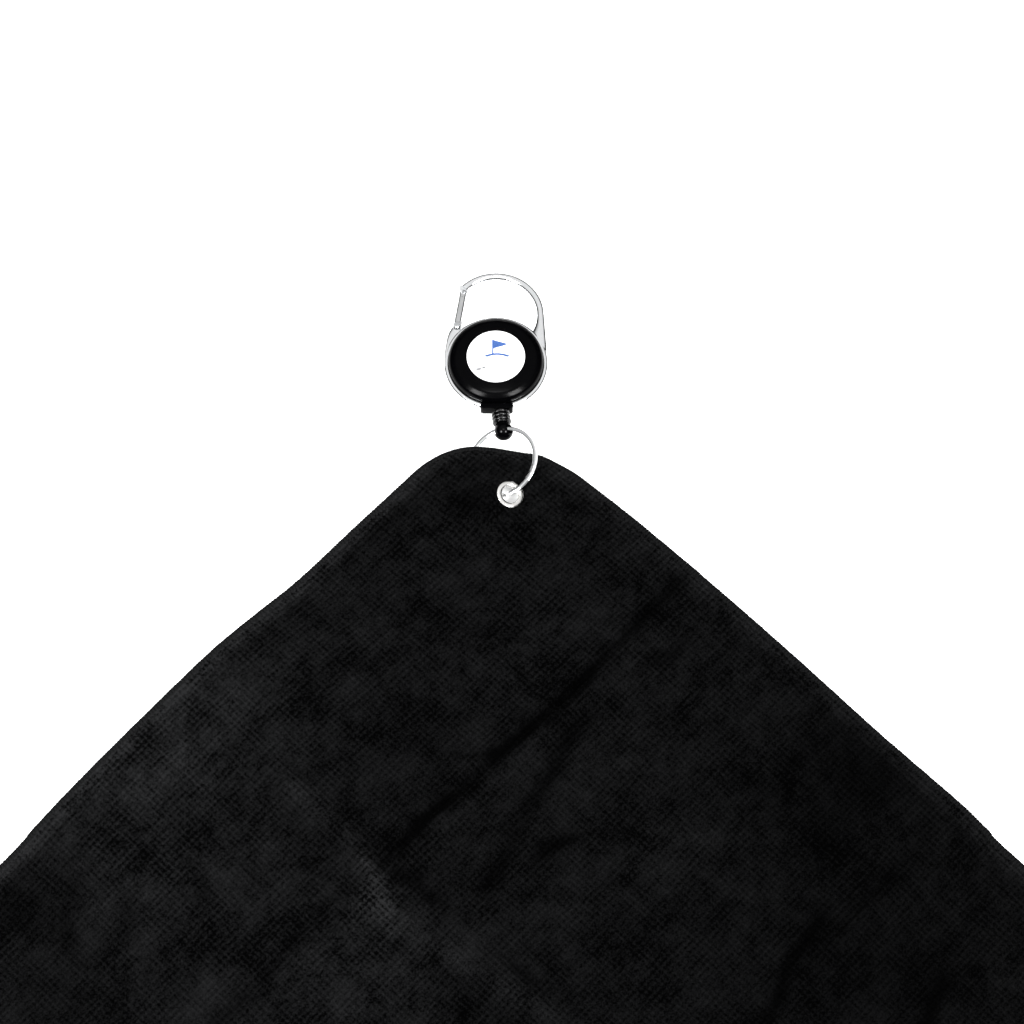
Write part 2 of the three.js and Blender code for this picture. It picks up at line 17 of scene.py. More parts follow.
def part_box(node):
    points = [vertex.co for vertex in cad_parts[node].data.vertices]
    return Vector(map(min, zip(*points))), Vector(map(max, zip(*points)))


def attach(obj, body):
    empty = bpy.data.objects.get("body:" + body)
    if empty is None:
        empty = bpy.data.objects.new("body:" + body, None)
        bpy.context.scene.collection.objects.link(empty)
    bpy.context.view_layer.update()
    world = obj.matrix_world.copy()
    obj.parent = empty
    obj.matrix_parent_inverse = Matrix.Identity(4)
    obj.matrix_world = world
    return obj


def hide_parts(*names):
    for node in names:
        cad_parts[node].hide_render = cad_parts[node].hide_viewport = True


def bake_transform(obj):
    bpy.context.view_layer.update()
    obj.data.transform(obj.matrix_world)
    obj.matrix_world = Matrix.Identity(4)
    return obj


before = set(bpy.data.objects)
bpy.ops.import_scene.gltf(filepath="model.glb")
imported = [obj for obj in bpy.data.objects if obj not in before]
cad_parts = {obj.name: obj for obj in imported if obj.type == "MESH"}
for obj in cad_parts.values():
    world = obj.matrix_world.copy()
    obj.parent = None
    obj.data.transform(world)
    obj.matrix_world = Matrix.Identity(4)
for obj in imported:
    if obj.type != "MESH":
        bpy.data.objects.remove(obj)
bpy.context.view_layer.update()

MM = 0.001
ARC_STEP = radians(7)
SMOOTH_ANGLE = radians(34)


def box_mm(node):
    """Lowest and highest corner of a CAD node."""
    low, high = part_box(node)
    return np.array(low) / MM, np.array(high) / MM


# ------------------------------------------------------------------ 1 mesh tools
def unit(vector):
    return vector / np.linalg.norm(vector)


def units(rows):
    return rows / np.linalg.norm(rows, axis=1)[:, None]


def walked(points):
    """The distance along a line of points to each of them."""
    return np.concatenate(([0], np.cumsum(np.linalg.norm(np.diff(points, axis=0), axis=1))))


def even_turns(count):
    """Angles evenly round a full turn."""
    return [2 * pi * k / count for k in range(count)]


def shift(x, y, z=0.0):
    return Matrix.Translation((x, y, z))


def turned(angle, axis="Z"):
    return Matrix.Rotation(radians(angle), 4, axis)


def link(obj):
    bpy.context.scene.collection.objects.link(obj)
    return obj


def smoothstep(value, low, high):
    share = np.clip((value - low) / (high - low), 0, 1)
    return share * share * (3 - 2 * share)


def smooth_shade(obj, angle=SMOOTH_ANGLE):
    obj.data.shade_smooth()
    obj.data.set_sharp_from_angle(angle=angle)


def new_object(name, points, faces):
    """A closed mesh with its faces pointing out and shared points merged."""
    mesh = bpy.data.meshes.new(name)
    mesh.from_pydata((np.array(points, float) * MM).tolist(), [], faces)
    work = bmesh.new()
    work.from_mesh(mesh)
    bmesh.ops.remove_doubles(work, verts=work.verts, dist=2e-7)
    bmesh.ops.recalc_face_normals(work, faces=work.faces)
    work.to_mesh(mesh)
    work.free()
    obj = link(bpy.data.objects.new(name, mesh))
    smooth_shade(obj)
    return obj


def skin(name, rings, is_loop):
    """Rings with the same number of points, joined in order. An open run gets a flat end at each side."""
    sides = len(rings[0])
    faces = []
    for i in range(len(rings) if is_loop else len(rings) - 1):
        a, b = i * sides, (i + 1) % len(rings) * sides
        faces += [(a + k, a + (k + 1) % sides, b + (k + 1) % sides, b + k) for k in range(sides)]
    if not is_loop:
        faces.append(tuple(range(sides)))
        faces.append(tuple((len(rings) - 1) * sides + k for k in range(sides)))
    return new_object(name, np.concatenate(rings), faces)


def rounded(corners):
    """A closed 2D outline from (x, y, radius) corners."""
    outline = []
    for i, (x, y, radius) in enumerate(corners):
        here = np.array((x, y), float)
        if radius == 0:
            outline.append(here)
            continue
        before = unit(np.array(corners[i - 1][:2]) - here)
        after = unit(np.array(corners[(i + 1) % len(corners)][:2]) - here)
        half = acos(np.clip(before @ after, -1, 1)) / 2
        centre = here + unit(before + after) * radius / sin(half)
        start = here + before * radius / tan(half) - centre
        end = here + after * radius / tan(half) - centre
        sweep = pi - 2 * half
        steps = max(2, ceil(sweep / ARC_STEP))
        for k in range(steps + 1):
            bend = sweep * k / steps
            outline.append(centre + (start * sin(sweep - bend) + end * sin(bend)) / sin(sweep))
    return outline


def lathe(name, corners, segments=96):
    """A closed (radius, height, corner radius) profile turned about Z."""
    profile = rounded(corners)
    rings = []
    for turn in even_turns(segments):
        rings.append([(r * cos(turn), r * sin(turn), z) for r, z in profile])
    return skin(name, rings, True)


def rod(name, radius, low, top, segments=48, edge=0.0):
    """A round bar along Z with its rims rounded by edge."""
    return lathe(name, [(0, low, 0), (radius, low, edge), (radius, top, edge), (0, top, 0)], segments)


def inset(outline, distance):
    """A counter-clockwise outline moved inwards."""
    points = np.array(outline)
    before = points - np.roll(points, 1, axis=0)
    after = np.roll(points, -1, axis=0) - points
    normals = [units(np.column_stack((-d[:, 1], d[:, 0]))) for d in (before, after)]
    middle = units(normals[0] + normals[1])
    return points + middle * (distance / np.clip((middle * normals[0]).sum(1), 0.3, 1))[:, None]


def plate(name, outline, low, top, edge=0.15, steps=4):
    """A flat counter-clockwise outline between two heights, with rounded rims."""
    rings = []
    for end, sign in ((low, 1), (top, -1)):
        bends = [k / steps * pi / 2 for k in range(steps + 1)]
        for bend in bends if sign > 0 else bends[::-1]:
            flat = inset(outline, edge * (1 - sin(bend)))
            height = end + sign * edge * (1 - cos(bend))
            rings.append(np.column_stack((flat, np.full(len(flat), height))))
    return skin(name, rings, False)


def block(name, x, y, z):
    corners = [(x[0], y[0]), (x[1], y[0]), (x[1], y[1]), (x[0], y[1])]
    return skin(name, [[(*corner, height) for corner in corners] for height in z], False)


def oval(width, height, power, sides):
    """A superellipse section: power 2 is an ellipse, and more is squarer."""
    section = []
    for turn in even_turns(sides):
        across, up = [copysign(abs(value) ** (2 / power), value) for value in (cos(turn), sin(turn))]
        section.append((across * width / 2, up * height / 2))
    return section


def tube(name, points, radius, sides=12, is_loop=False):
    """A round tube along points, with its frame carried on from point to point."""
    path = np.array(points, float)
    if is_loop:
        along = np.roll(path, -1, axis=0) - np.roll(path, 1, axis=0)
    else:
        along = np.gradient(path, axis=0)
    along = units(along)
    side = unit(np.cross(along[0], (0.31, 0.2, 0.93)))
    rings = []
    for place, direction in zip(path, along):
        side = unit(side - direction * (side @ direction))
        other = np.cross(direction, side)
        rings.append([place + radius * (side * cos(t) + other * sin(t)) for t in even_turns(sides)])
    return skin(name, rings, is_loop)


def curve_through(points, steps):
    """Points on a smooth line through the given ones (Catmull-Rom)."""
    given = np.array(points, float)
    padded = np.vstack((2 * given[0] - given[1], given, 2 * given[-1] - given[-2]))
    line = []
    for i in range(len(given) - 1):
        a, b, c, d = padded[i : i + 4]
        for t in np.linspace(0, 1, steps, endpoint=False):
            line.append(0.5 * (2 * b + (c - a) * t + (2 * a - 5 * b + 4 * c - d) * t**2
                               + (3 * b - a - 3 * c + d) * t**3))
    return np.array([*line, given[-1]])


def arc(centre, radius, start, end, steps):
    """Points on an arc between two angles in degrees."""
    turns = np.radians(np.linspace(start, end, steps + 1))
    return np.column_stack((centre[0] + radius * np.cos(turns), centre[1] + radius * np.sin(turns)))


def carve(obj, others, operation="DIFFERENCE"):
    """Cuts, joins or keeps the common part with other objects, which are used up."""
    for other in others:
        step = obj.modifiers.new("carve", "BOOLEAN")
        step.operation = operation
        step.solver = "EXACT"
        step.object = other
    graph = bpy.context.evaluated_depsgraph_get()
    obj.data = bpy.data.meshes.new_from_object(obj.evaluated_get(graph))
    obj.modifiers.clear()
    for other in others:
        bpy.data.objects.remove(other)
    smooth_shade(obj)
    return obj


def move(obj, matrix):
    """Moves the mesh itself by a matrix whose shift is in millimetres."""
    matrix = matrix.copy()
    matrix.translation = matrix.translation * MM
    obj.data.transform(matrix)
    return obj


def place(obj, body, slot, material, stands_for=()):
    """Gives a finished piece its material and its body, and hides the CAD nodes it stands for."""
    obj.data.materials.clear()
    obj.data.materials.append(material)
    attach(obj, body)
    if stands_for:
        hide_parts(*stands_for)
    return obj


# ------------------------------------------------------------------ 2 materials
class Finish:
    """A material built round one Principled shader. Plain values go on the shader's own sockets."""

    def __init__(self, name, **plain):
        self.material = bpy.data.materials.new(name)
        self.material.use_nodes = True
        self.tree = self.material.node_tree
        self.shader = self.tree.nodes["Principled BSDF"]
        for socket, value in plain.items():
            self.shader.inputs[socket.replace("_", " ")].default_value = value
        self.spot = self.add("ShaderNodeTexCoord").outputs["Object"]

    def add(self, kind, settings=None, **inputs):
        """A node with its settings, and its inputs as values or as sockets to link. _0 is the first input."""
        made = self.tree.nodes.new(kind)
        for name, value in (settings or {}).items():
            setattr(made, name, value)
        for name, value in inputs.items():
            socket = made.inputs[int(name[1:]) if name[0] == "_" else name]
            if isinstance(value, bpy.types.NodeSocket):
                self.tree.links.new(value, socket)
            else:
                socket.default_value = value
        return made

    def maths(self, operation, a, b=0.0, c=0.0):
        return self.add("ShaderNodeMath", {"operation": operation}, _0=a, _1=b, _2=c).outputs[0]

    def noise(self, scale, detail=3.0, roughness=0.55, spot=None):
        made = self.add("ShaderNodeTexNoise", Vector=spot or self.spot, Scale=scale, Detail=detail,
                        Roughness=roughness)
        return made.outputs["Fac"]

    def between(self, value, low, high, start=0.0, end=1.0):
        """A 0 to 1 pattern spread between two values."""
        made = self.add("ShaderNodeMapRange", _0=value, _1=start, _2=end, _3=low, _4=high)
        return made.outputs[0]

    def stretched(self, scale):
        """The object's coordinates, stretched."""
        return self.add("ShaderNodeMapping", Vector=self.spot, Scale=scale).outputs[0]

    def set(self, socket, value):
        self.tree.links.new(value, self.shader.inputs[socket])

    def colour(self, pattern, low, high):
        """The base colour, from a 0 to 1 pattern between two colours."""
        made = self.add("ShaderNodeMix", {"data_type": "RGBA"}, _0=pattern)
        made.inputs[6].default_value = (*low, 1)
        made.inputs[7].default_value = (*high, 1)
        self.set("Base Color", made.outputs[2])

    def rough(self, pattern, low, high, start=0.0, end=1.0):
        """The roughness, from a 0 to 1 pattern between two values."""
        self.set("Roughness", self.between(pattern, low, high, start, end))

    def bump(self, height, distance, strength=1.0):
        """Relief whose full height is distance, in metres."""
        made = self.add("ShaderNodeBump", Height=height, Distance=distance, Strength=strength)
        self.set("Normal", made.outputs[0])


def chrome_finish(name, low, high):
    """Bright plating: faint ripples, hairline scratches and duller rubbed places."""
    made = Finish(name, Metallic=1.0)
    rubbed = made.noise(260, 4)
    scratches = made.noise(1.0, 2, 0.7, made.stretched((500, 9000, 2500)))
    made.colour(rubbed, low, high)
    dulled = made.between(rubbed, 0.04, 0.16, 0.4, 0.75)
    made.set("Roughness", made.maths("MULTIPLY", dulled, made.between(scratches, 0.7, 1.6)))
    ripple = made.maths("ADD", made.noise(320, 2), made.maths("MULTIPLY", scratches, 0.25))
    made.bump(ripple, 0.00003, 0.5)
    return made.material


def nickel_finish():
    """Pressed sheet metal with a fine grain."""
    made = Finish("pressed_nickel", Metallic=1.0)
    grain = made.noise(700, 4)
    made.colour(grain, (0.78, 0.77, 0.75), (0.93, 0.92, 0.90))
    made.rough(grain, 0.07, 0.22, 0.3, 0.7)
    made.bump(made.noise(1500, 3), 0.00002, 0.5)
    return made.material


def steel_finish():
    """Drawn spring and pin steel."""
    made = Finish("drawn_steel", Metallic=1.0)
    lines = made.noise(1.0, 3, 0.6, made.stretched((6000, 6000, 700)))
    made.colour(lines, (0.42, 0.43, 0.44), (0.62, 0.63, 0.64))
    made.rough(lines, 0.2, 0.42)
    made.bump(lines, 0.00001, 0.6)
    return made.material


def moulded_finish(name, low, high, roughness, level):
    """Injection-moulded plastic: fine satin texture, handling marks and faint flow variation."""
    made = Finish(name, Specular_IOR_Level=level)
    flow = made.noise(120, 3)
    marks = made.noise(1.0, 3, 0.6, made.stretched((300, 2500, 900)))
    made.colour(flow, low, high)
    made.rough(marks, roughness - 0.05, roughness + 0.09, 0.3, 0.7)
    texture = made.maths("ADD", made.noise(7000, 2), made.maths("MULTIPLY", marks, 0.4))
    made.bump(texture, 0.000012, 0.5)
    return made.material


def rubber_finish():
    made = Finish("soft_rubber", Specular_IOR_Level=0.42)
    dust = made.noise(900, 4)
    made.colour(dust, (0.0004, 0.0004, 0.0005), (0.0014, 0.0014, 0.0016))
    made.rough(dust, 0.14, 0.28, 0.3, 0.7)
    made.bump(made.noise(4000, 3), 0.00002, 0.6)
    return made.material


def label_finish():
    """White vinyl with a fine print grain under a thin gloss coat."""
    made = Finish("white_vinyl", Specular_IOR_Level=0.4, Coat_Weight=0.3, Coat_Roughness=0.08)
    made.colour(made.noise(2400, 3), (0.84, 0.85, 0.86), (0.91, 0.915, 0.92))
    made.rough(made.noise(600, 3), 0.28, 0.42)
    made.bump(made.noise(1800, 2), 0.00001, 0.4)
    return made.material


def ink_finish(name, thin, full):
    """Screen-printed ink, patchy where the screen let less through."""
    made = Finish(name, Specular_IOR_Level=0.3)
    patches = made.between(made.noise(1600, 4), 0.0, 1.0, 0.3, 0.75)
    made.colour(patches, full, thin)
    made.rough(patches, 0.35, 0.55)
    return made.material


def cord_finish():
    """Braided nylon: two sets of strands crossing round the cord."""
    made = Finish("braided_nylon", Specular_IOR_Level=0.3, Sheen_Weight=0.2)
    place_xyz = made.add("ShaderNodeSeparateXYZ", Vector=made.spot)
    strands = []
    for lean in (1, -1):
        slope = made.maths("MULTIPLY_ADD", place_xyz.outputs[0], float(lean), place_xyz.outputs[1])
        strands.append(made.maths("ABSOLUTE", made.maths("SINE", made.maths("MULTIPLY", slope, 9000.0))))
    braid = made.maths("MAXIMUM", *strands)
    made.colour(braid, (0.004, 0.004, 0.005), (0.022, 0.022, 0.024))
    made.rough(braid, 0.9, 0.6)
    made.bump(braid, 0.00008, 0.8)
    return made.material


WAFFLE = (1.76, 1.95)


def towel_finish():
    """Black microfibre in a waffle weave. flat_place is the cloth's own place before it was laid, in metres,
    and the other point attribute is the painted light and shade on the pile, with 0.2 for plain cloth."""
    made = Finish("waffle_microfibre", Roughness=0.95, Specular_IOR_Level=0.004, Sheen_Weight=0.003,
                  Sheen_Roughness=0.4)
    flat = made.add("ShaderNodeAttribute", {"attribute_name": "flat_place"}).outputs["Vector"]
    painted_light_and_shade = made.add("ShaderNodeAttribute", {"attribute_name": "painted_light_and_shade"}).outputs["Fac"]
    drift = made.add("ShaderNodeTexNoise", Vector=flat, Scale=60.0, Detail=3.0).outputs["Color"]
    drifted = made.add("ShaderNodeVectorMath", {"operation": "MULTIPLY_ADD"}, _0=drift,
                       _1=(0.0013, 0.0013, 0.0), _2=flat).outputs[0]
    across = made.add("ShaderNodeSeparateXYZ", Vector=drifted)
    ribs = []
    for axis, pitch in enumerate(WAFFLE):
        turn = made.maths("MULTIPLY", across.outputs[axis], 2 * pi / (pitch * MM))
        streaks = made.add("ShaderNodeMapping", Vector=flat, Scale=(60, 220, 1) if axis else (220, 60, 1))
        worn = made.between(made.noise(1.0, 2, 0.5, streaks.outputs[0]), 0.15, 1.0, 0.3, 0.7)
        ribs.append(made.maths("MULTIPLY", made.maths("SINE", turn), worn))
    weave = made.maths("ADD", *ribs)
    fibres = made.noise(1500, 3, 0.7, flat)
    pile = made.noise(40, 6, 0.88, flat)
    uneven = made.maths("MULTIPLY_ADD", pile, 7.0, -3.5)
    uneven = made.maths("MULTIPLY_ADD", fibres, 5.2, made.maths("SUBTRACT", uneven, 2.6))
    uneven = made.maths("MULTIPLY_ADD", weave, 0.42, uneven)
    # painted light and shade from the point attribute, times the pile's random mottling
    lightness = made.maths("MULTIPLY", painted_light_and_shade, made.maths("MAXIMUM", made.maths("ADD", uneven, 1.0), 0.08))
    made.colour(lightness, (0.0001, 0.0001, 0.00012), (0.0094, 0.0095, 0.0099))
    made.bump(made.maths("MULTIPLY_ADD", fibres, 1.2, weave), 0.00022, 0.8)
    return made.material


def thread_finish():
    """Fluffy polyester yarn, with painted light: its colour is lighter on the left."""
    made = Finish("overlock_thread", Roughness=0.85, Specular_IOR_Level=0.02, Sheen_Weight=0.004)
    ply = made.noise(2600, 4, 0.7)
    across = made.add("ShaderNodeSeparateXYZ", Vector=made.spot).outputs[0]
    # painted light: the yarn's colour is lighter towards -X
    painted_left_light = made.maths("MULTIPLY", ply, made.between(across, 2.4, 1.2, -0.04, 0.04))
    made.colour(painted_left_light, (0.0006, 0.0006, 0.0007), (0.0048, 0.0049, 0.0051))
    made.bump(ply, 0.00008, 0.7)
    return made.material


CHROME = chrome_finish("bright_chrome", (0.80, 0.81, 0.82), (0.92, 0.93, 0.94))
SHEET_CHROME = chrome_finish("sheet_chrome", (0.54, 0.545, 0.55), (0.68, 0.685, 0.69))
NICKEL = nickel_finish()
STEEL = steel_finish()
JET = ((0.0002, 0.0002, 0.0003), (0.0006, 0.0006, 0.0008))
BLACK = moulded_finish("black_casing", *JET, 0.16, 0.033)
BLOCK_BLACK = moulded_finish("black_block", *JET, 0.22, 0.014)
BALL_BLACK = moulded_finish("black_ball", *JET, 0.09, 0.06)
INNER = moulded_finish("dark_nylon", (0.010, 0.010, 0.011), (0.018, 0.018, 0.020), 0.42, 0.45)
RUBBER = rubber_finish()
LABEL = label_finish()
BLUE_INK = ink_finish("blue_ink", (0.045, 0.10, 0.28), (0.020, 0.052, 0.17))
GREY_INK = ink_finish("grey_ink", (0.22, 0.222, 0.23), (0.10, 0.102, 0.105))
CORD = cord_finish()
CLOTH = towel_finish()
THREAD = thread_finish()

# ------------------------------------------------------------------ 3 clip and reel
frame_low, frame_high = box_mm("carabiner_frame")
RING_OUTER = frame_high[0]
FRAME_LOW, FRAME_TOP = frame_low[2], frame_high[2]
FRAME_MIDDLE = (FRAME_LOW + FRAME_TOP) / 2
RING_WIDE = 2.4
LOOP_CENTRE = (0.0, 18.6)
LOOP_OUTER = 16.5
LOOP_INNER = 13.6
NOSE_ANGLE = 136
TONGUE = (2.3, 3.7)
PIVOT = (-13.2, 14.1)
LUG_RADIUS = 1.5
GATE_LEAN = -9
GATE_OPEN = -35
GATE_LENGTH = 13.0
GATE_HALF = 1.3
GATE = (1.5, 4.5)
CHEEK = 0.45
PIN_RADIUS = 0.5
GAP = 0.3
OUTLET_X = (-5.1, 5.7)
OUTLET_FRONT = -18.2


def cast_bar(name, outer, inner, thinner, power):
    """A bar of the clip's casting, whose section spans two flat lines of points."""
    section = oval(1, FRAME_TOP - FRAME_LOW - thinner, power, 28)
    rings = []
    for a, b in zip(np.array(outer), np.array(inner)):
        rings.append([(*((a + b) / 2 + (a - b) * across), FRAME_MIDDLE + up) for across, up in section])
    return skin(name, rings, False)


def at_gate(obj, opening=0.0):
    """From the gate's own place, with its pivot at the origin and its latch end on +Y."""
    return move(obj, shift(*PIVOT) @ turned(GATE_LEAN + opening))


def capsule(margin=0.0):
    """The gate's outline, with a margin."""
    half = GATE_HALF + margin
    return [*arc((0, 0), half, 180, 360, 16), *arc((0, GATE_LENGTH), half, 0, 180, 16)]


def make_clip_frame():
    """The casting: a ring round the reel, the loop above it, an arm to the gate's pivot, and the nose."""
    tangent = degrees(asin((RING_OUTER - LOOP_OUTER) / LOOP_CENTRE[1]))
    start = -degrees(acos((OUTLET_X[1] + GAP) / RING_OUTER))
    end = 360 - degrees(acos((OUTLET_X[0] - GAP) / RING_OUTER))
    ring = cast_bar("clip_frame", arc((0, 0), RING_OUTER, start, end, 150),
                    arc((0, 0), RING_OUTER - RING_WIDE, start, end, 150), 0, 2.3)
    foot = arc((0, 0), RING_OUTER, tangent, tangent, 0)[0]
    shoulder = arc(LOOP_CENTRE, LOOP_OUTER, tangent, tangent, 0)[0]
    side = [foot + (shoulder - foot) * k / 24 for k in range(24)]
    inside = arc(LOOP_CENTRE, LOOP_INNER, -27, tangent, 24)[:-1]
    loop = cast_bar("loop", [*side, *arc(LOOP_CENTRE, LOOP_OUTER, tangent, NOSE_ANGLE, 90)],
                    [*inside, *arc(LOOP_CENTRE, LOOP_INNER, tangent, NOSE_ANGLE, 90)], 0.04, 2.2)
    outside = curve_through([(-17.62, -1.6), (-17.4, 4.9), (-16.35, 11.2), (-14.6, 14.6)], 10)
    arm = cast_bar("arm", outside, arc((0, 0), 16.3, 186, 134, len(outside) - 1), 0.08, 2.3)
    lug = move(rod("lug", LUG_RADIUS, FRAME_LOW + 0.05, FRAME_TOP - 0.05, edge=0.4), shift(*PIVOT))
    nose = plate("nose", [(-1.2, GATE_LENGTH), (1.1, GATE_LENGTH), (1.6, GATE_LENGTH + 2.9),
                          (-1.6, GATE_LENGTH + 2.9)], *TONGUE, edge=0.12)
    hook = move(rod("hook", 1.5, *TONGUE, edge=0.12), shift(0, GATE_LENGTH))
    carve(ring, [loop, arm, lug, at_gate(nose), at_gate(hook)], "UNION")
    cutters = []
    for share in (0, 0.5, 1):
        for low, top in ((FRAME_LOW - 1, TONGUE[0]), (TONGUE[1], FRAME_TOP + 1)):
            cutters.append(at_gate(plate("relief", capsule(0.35), low, top, 0.02, 1), share * GATE_OPEN))
    cutters.append(at_gate(block("notch", (0, 3), (GATE_LENGTH - 0.85, GATE_LENGTH + 0.85), (0, 6))))
    cutters.append(at_gate(move(rod("seat", 0.85, 0, 6), shift(0, GATE_LENGTH))))
    cutters.append(move(rod("pivot_hole", PIN_RADIUS + GAP, 0, 6), shift(*PIVOT)))
    carve(ring, cutters)
    return place(ring, "reel", "chrome_plate", CHROME, ["carabiner_frame"])


def make_gate():
    """A folded sheet channel on two pins, with the spring that closes it."""
    bar = plate("gate_channel", capsule(), *GATE, edge=0.95, steps=8)
    inside = (GATE[0] + CHEEK, GATE[1] - CHEEK)
    cutters = [block("channel", (-3, GATE_HALF - CHEEK), (-3, GATE_LENGTH + 3), inside),
               block("pivot_window", (-3, 3), (-3, 2.1), inside),
               block("latch_window", (-3, 3), (10.9, GATE_LENGTH + 3), inside)]
    for face in GATE:
        deep = (face - 0.16, face + 0.16)
        cutters.append(block("pressed_line", (-0.3, 0.3), (1.7, GATE_LENGTH - 1.7), deep))
    for y in (0, GATE_LENGTH):
        cutters.append(move(rod("hole", PIN_RADIUS + GAP, 0, 6), shift(0, y)))
    place(at_gate(carve(bar, cutters)), "gate", "chrome_plate", SHEET_CHROME, ["gate_bar"])

    pin = move(rod("latch_pin", PIN_RADIUS, GATE[0] + 0.05, GATE[1] - 0.05, edge=0.12), shift(0, GATE_LENGTH))
    place(at_gate(pin), "gate", "steel", STEEL, ["gate_latch_pin"])

    head, rim = GATE[1] + GAP, GATE[0] - GAP
    rivet = lathe("pivot_rivet", [
        (0, rim - 0.3, 0), (1.1, rim - 0.3, 0.25), (1.1, rim, 0.05), (PIN_RADIUS, rim, 0),
        (PIN_RADIUS, head, 0), (1.1, head, 0.05), (1.1, head + 0.3, 0.25), (0, head + 0.3, 0)], 48)
    place(move(rivet, shift(*PIVOT)), "reel", "steel", STEEL, ["gate_pivot_pin"])

    middle = (GATE[0] + GATE[1]) / 2
    steps = 6 * 24
    helix = []
    for i in range(steps + 1):
        turn = 2 * pi * i / 24
        helix.append((-0.25 + 0.6 * cos(turn), 3.9 + 5.9 * i / steps, middle + 0.6 * sin(turn)))
    place(at_gate(tube("closing_spring", helix, 0.11, 8)), "gate", "steel", STEEL, ["gate_spring"])


# (radius, height, corner radius) round each shell's section
FRONT_PROFILE = [(1.1, 6.5, 0), (14, 6.5, 0.15), (14, 4.7, 0.1), (16, 4.7, 0.1), (16, 6.45, 2.3),
                 (13.6, 7.95, 3.5), (10.2, 8.6, 0.1), (10.2, 7.8, 0.05), (2.3, 7.8, 0.05), (2.3, 7.1, 0),
                 (1.1, 7.1, 0)]
BACK_PROFILE = [(0, 0, 0), (15.9, 0, 0.6), (15.9, 1.3, 0.1), (15.0, 1.3, 0), (15.0, 4.3, 0.1),
                (14.0, 4.3, 0.1), (14.0, 1.3, 0.3), (2.3, 1.3, 0.3), (2.3, 6.2, 0.15), (1.1, 6.2, 0),
                (1.1, 2.4, 0), (0, 2.4, 0)]


def make_casing():
    front = lathe("front_shell", FRONT_PROFILE, 160)
    place(front, "reel", "black_plastic", BLACK, ["front_cover"])

    back = lathe("back_shell", BACK_PROFILE, 128)
    cutters = [block("spring_slot", (0, 3), (-0.45, 0.45), (2.1, 7)),
               block("cord_slot", (-1, 7.5), (-16, -11), (2.9, 6)),
               block("outlet_slot", OUTLET_X, (-16.2, -14.4), (1.31, 6))]
    place(carve(back, cutters), "reel", "black_plastic", BLACK, ["back_cover"])


def make_label():
    """The vinyl disc in the front shell's well, with a plain pennant and a short rule printed on it."""
    low, high = box_mm("label_disc")
    radius, top = high[0], high[2]
    disc = lathe("label_vinyl_disc", [
        (0, low[2], 0), (radius, low[2], 0.05), (radius, top, 0.1), (0, top, 0)], 128)
    place(disc, "reel", "label_vinyl", LABEL, ["label_disc"])

    ink = (top - 0.02, top + 0.025, 0.01, 1)
    emblem = plate("label_emblem", rounded([
        (-1.3, 0.6, 0.1), (-0.75, 0.6, 0.1), (-0.75, 6.3, 0.2), (-1.3, 6.3, 0.2)]), *ink)
    flag = plate("flag", rounded([(-0.9, 2.9, 0.15), (4.4, 4.6, 0.4), (-0.9, 6.2, 0.15)]), *ink)
    ground = plate("ground", [
        *arc((0.4, -8.5), 9.7, 64, 116, 20), *arc((0.4, -7.3), 7.75, 116, 64, 20)], *ink)
    place(carve(emblem, [flag, ground], "UNION"), "reel", "label_vinyl", BLUE_INK)
    rules = []
    for x, y, wide, high in ((-6.6, -5.6, 1.7, 0.95), (-4.6, -4.8, 1.1, 0.8)):
        right, rise = x + wide, 0.25 * wide
        rules.append(plate("label_rule", rounded([
            (x, y, 0.1), (right, y + rise, 0.1), (right, y + high + rise, 0.1), (x, y + high, 0.1)]), *ink))
    place(carve(rules[0], rules[1:], "UNION"), "reel", "label_vinyl", GREY_INK)


def make_outlet():
    """The block under the casing's lip that the cord leaves through."""
    left, right = OUTLET_X
    body = plate("outlet_block", rounded([
        (left, OUTLET_FRONT, 0.8), (right, OUTLET_FRONT, 0.8), (right, -16.35, 0), (left, -16.35, 0)]),
        FRAME_LOW, 6.0, 0.3)
    root = block("root", (left + 0.3, right - 0.3), (-16.6, -15.2), (FRAME_LOW + 0.01, FRAME_TOP))
    carve(body, [root], "UNION")
    bore = lathe("bore", [(0, -5, 0), (0.85, -5, 0), (0.85, 1.0, 0.6), (1.6, 2.5, 0), (0, 2.5, 0)], 48)
    carve(body, [rod("casing_space", 16 + GAP, FRAME_TOP, 7, 160),
                 move(bore, shift(1.6, -17.0, 3.9) @ turned(90, "X")),
                 block("cord_way", (0.6, 4.2), (-16.9, -15), (3.0, 4.8))])
    place(body, "reel", "black_plastic", BLOCK_BLACK, ["cord_outlet"])


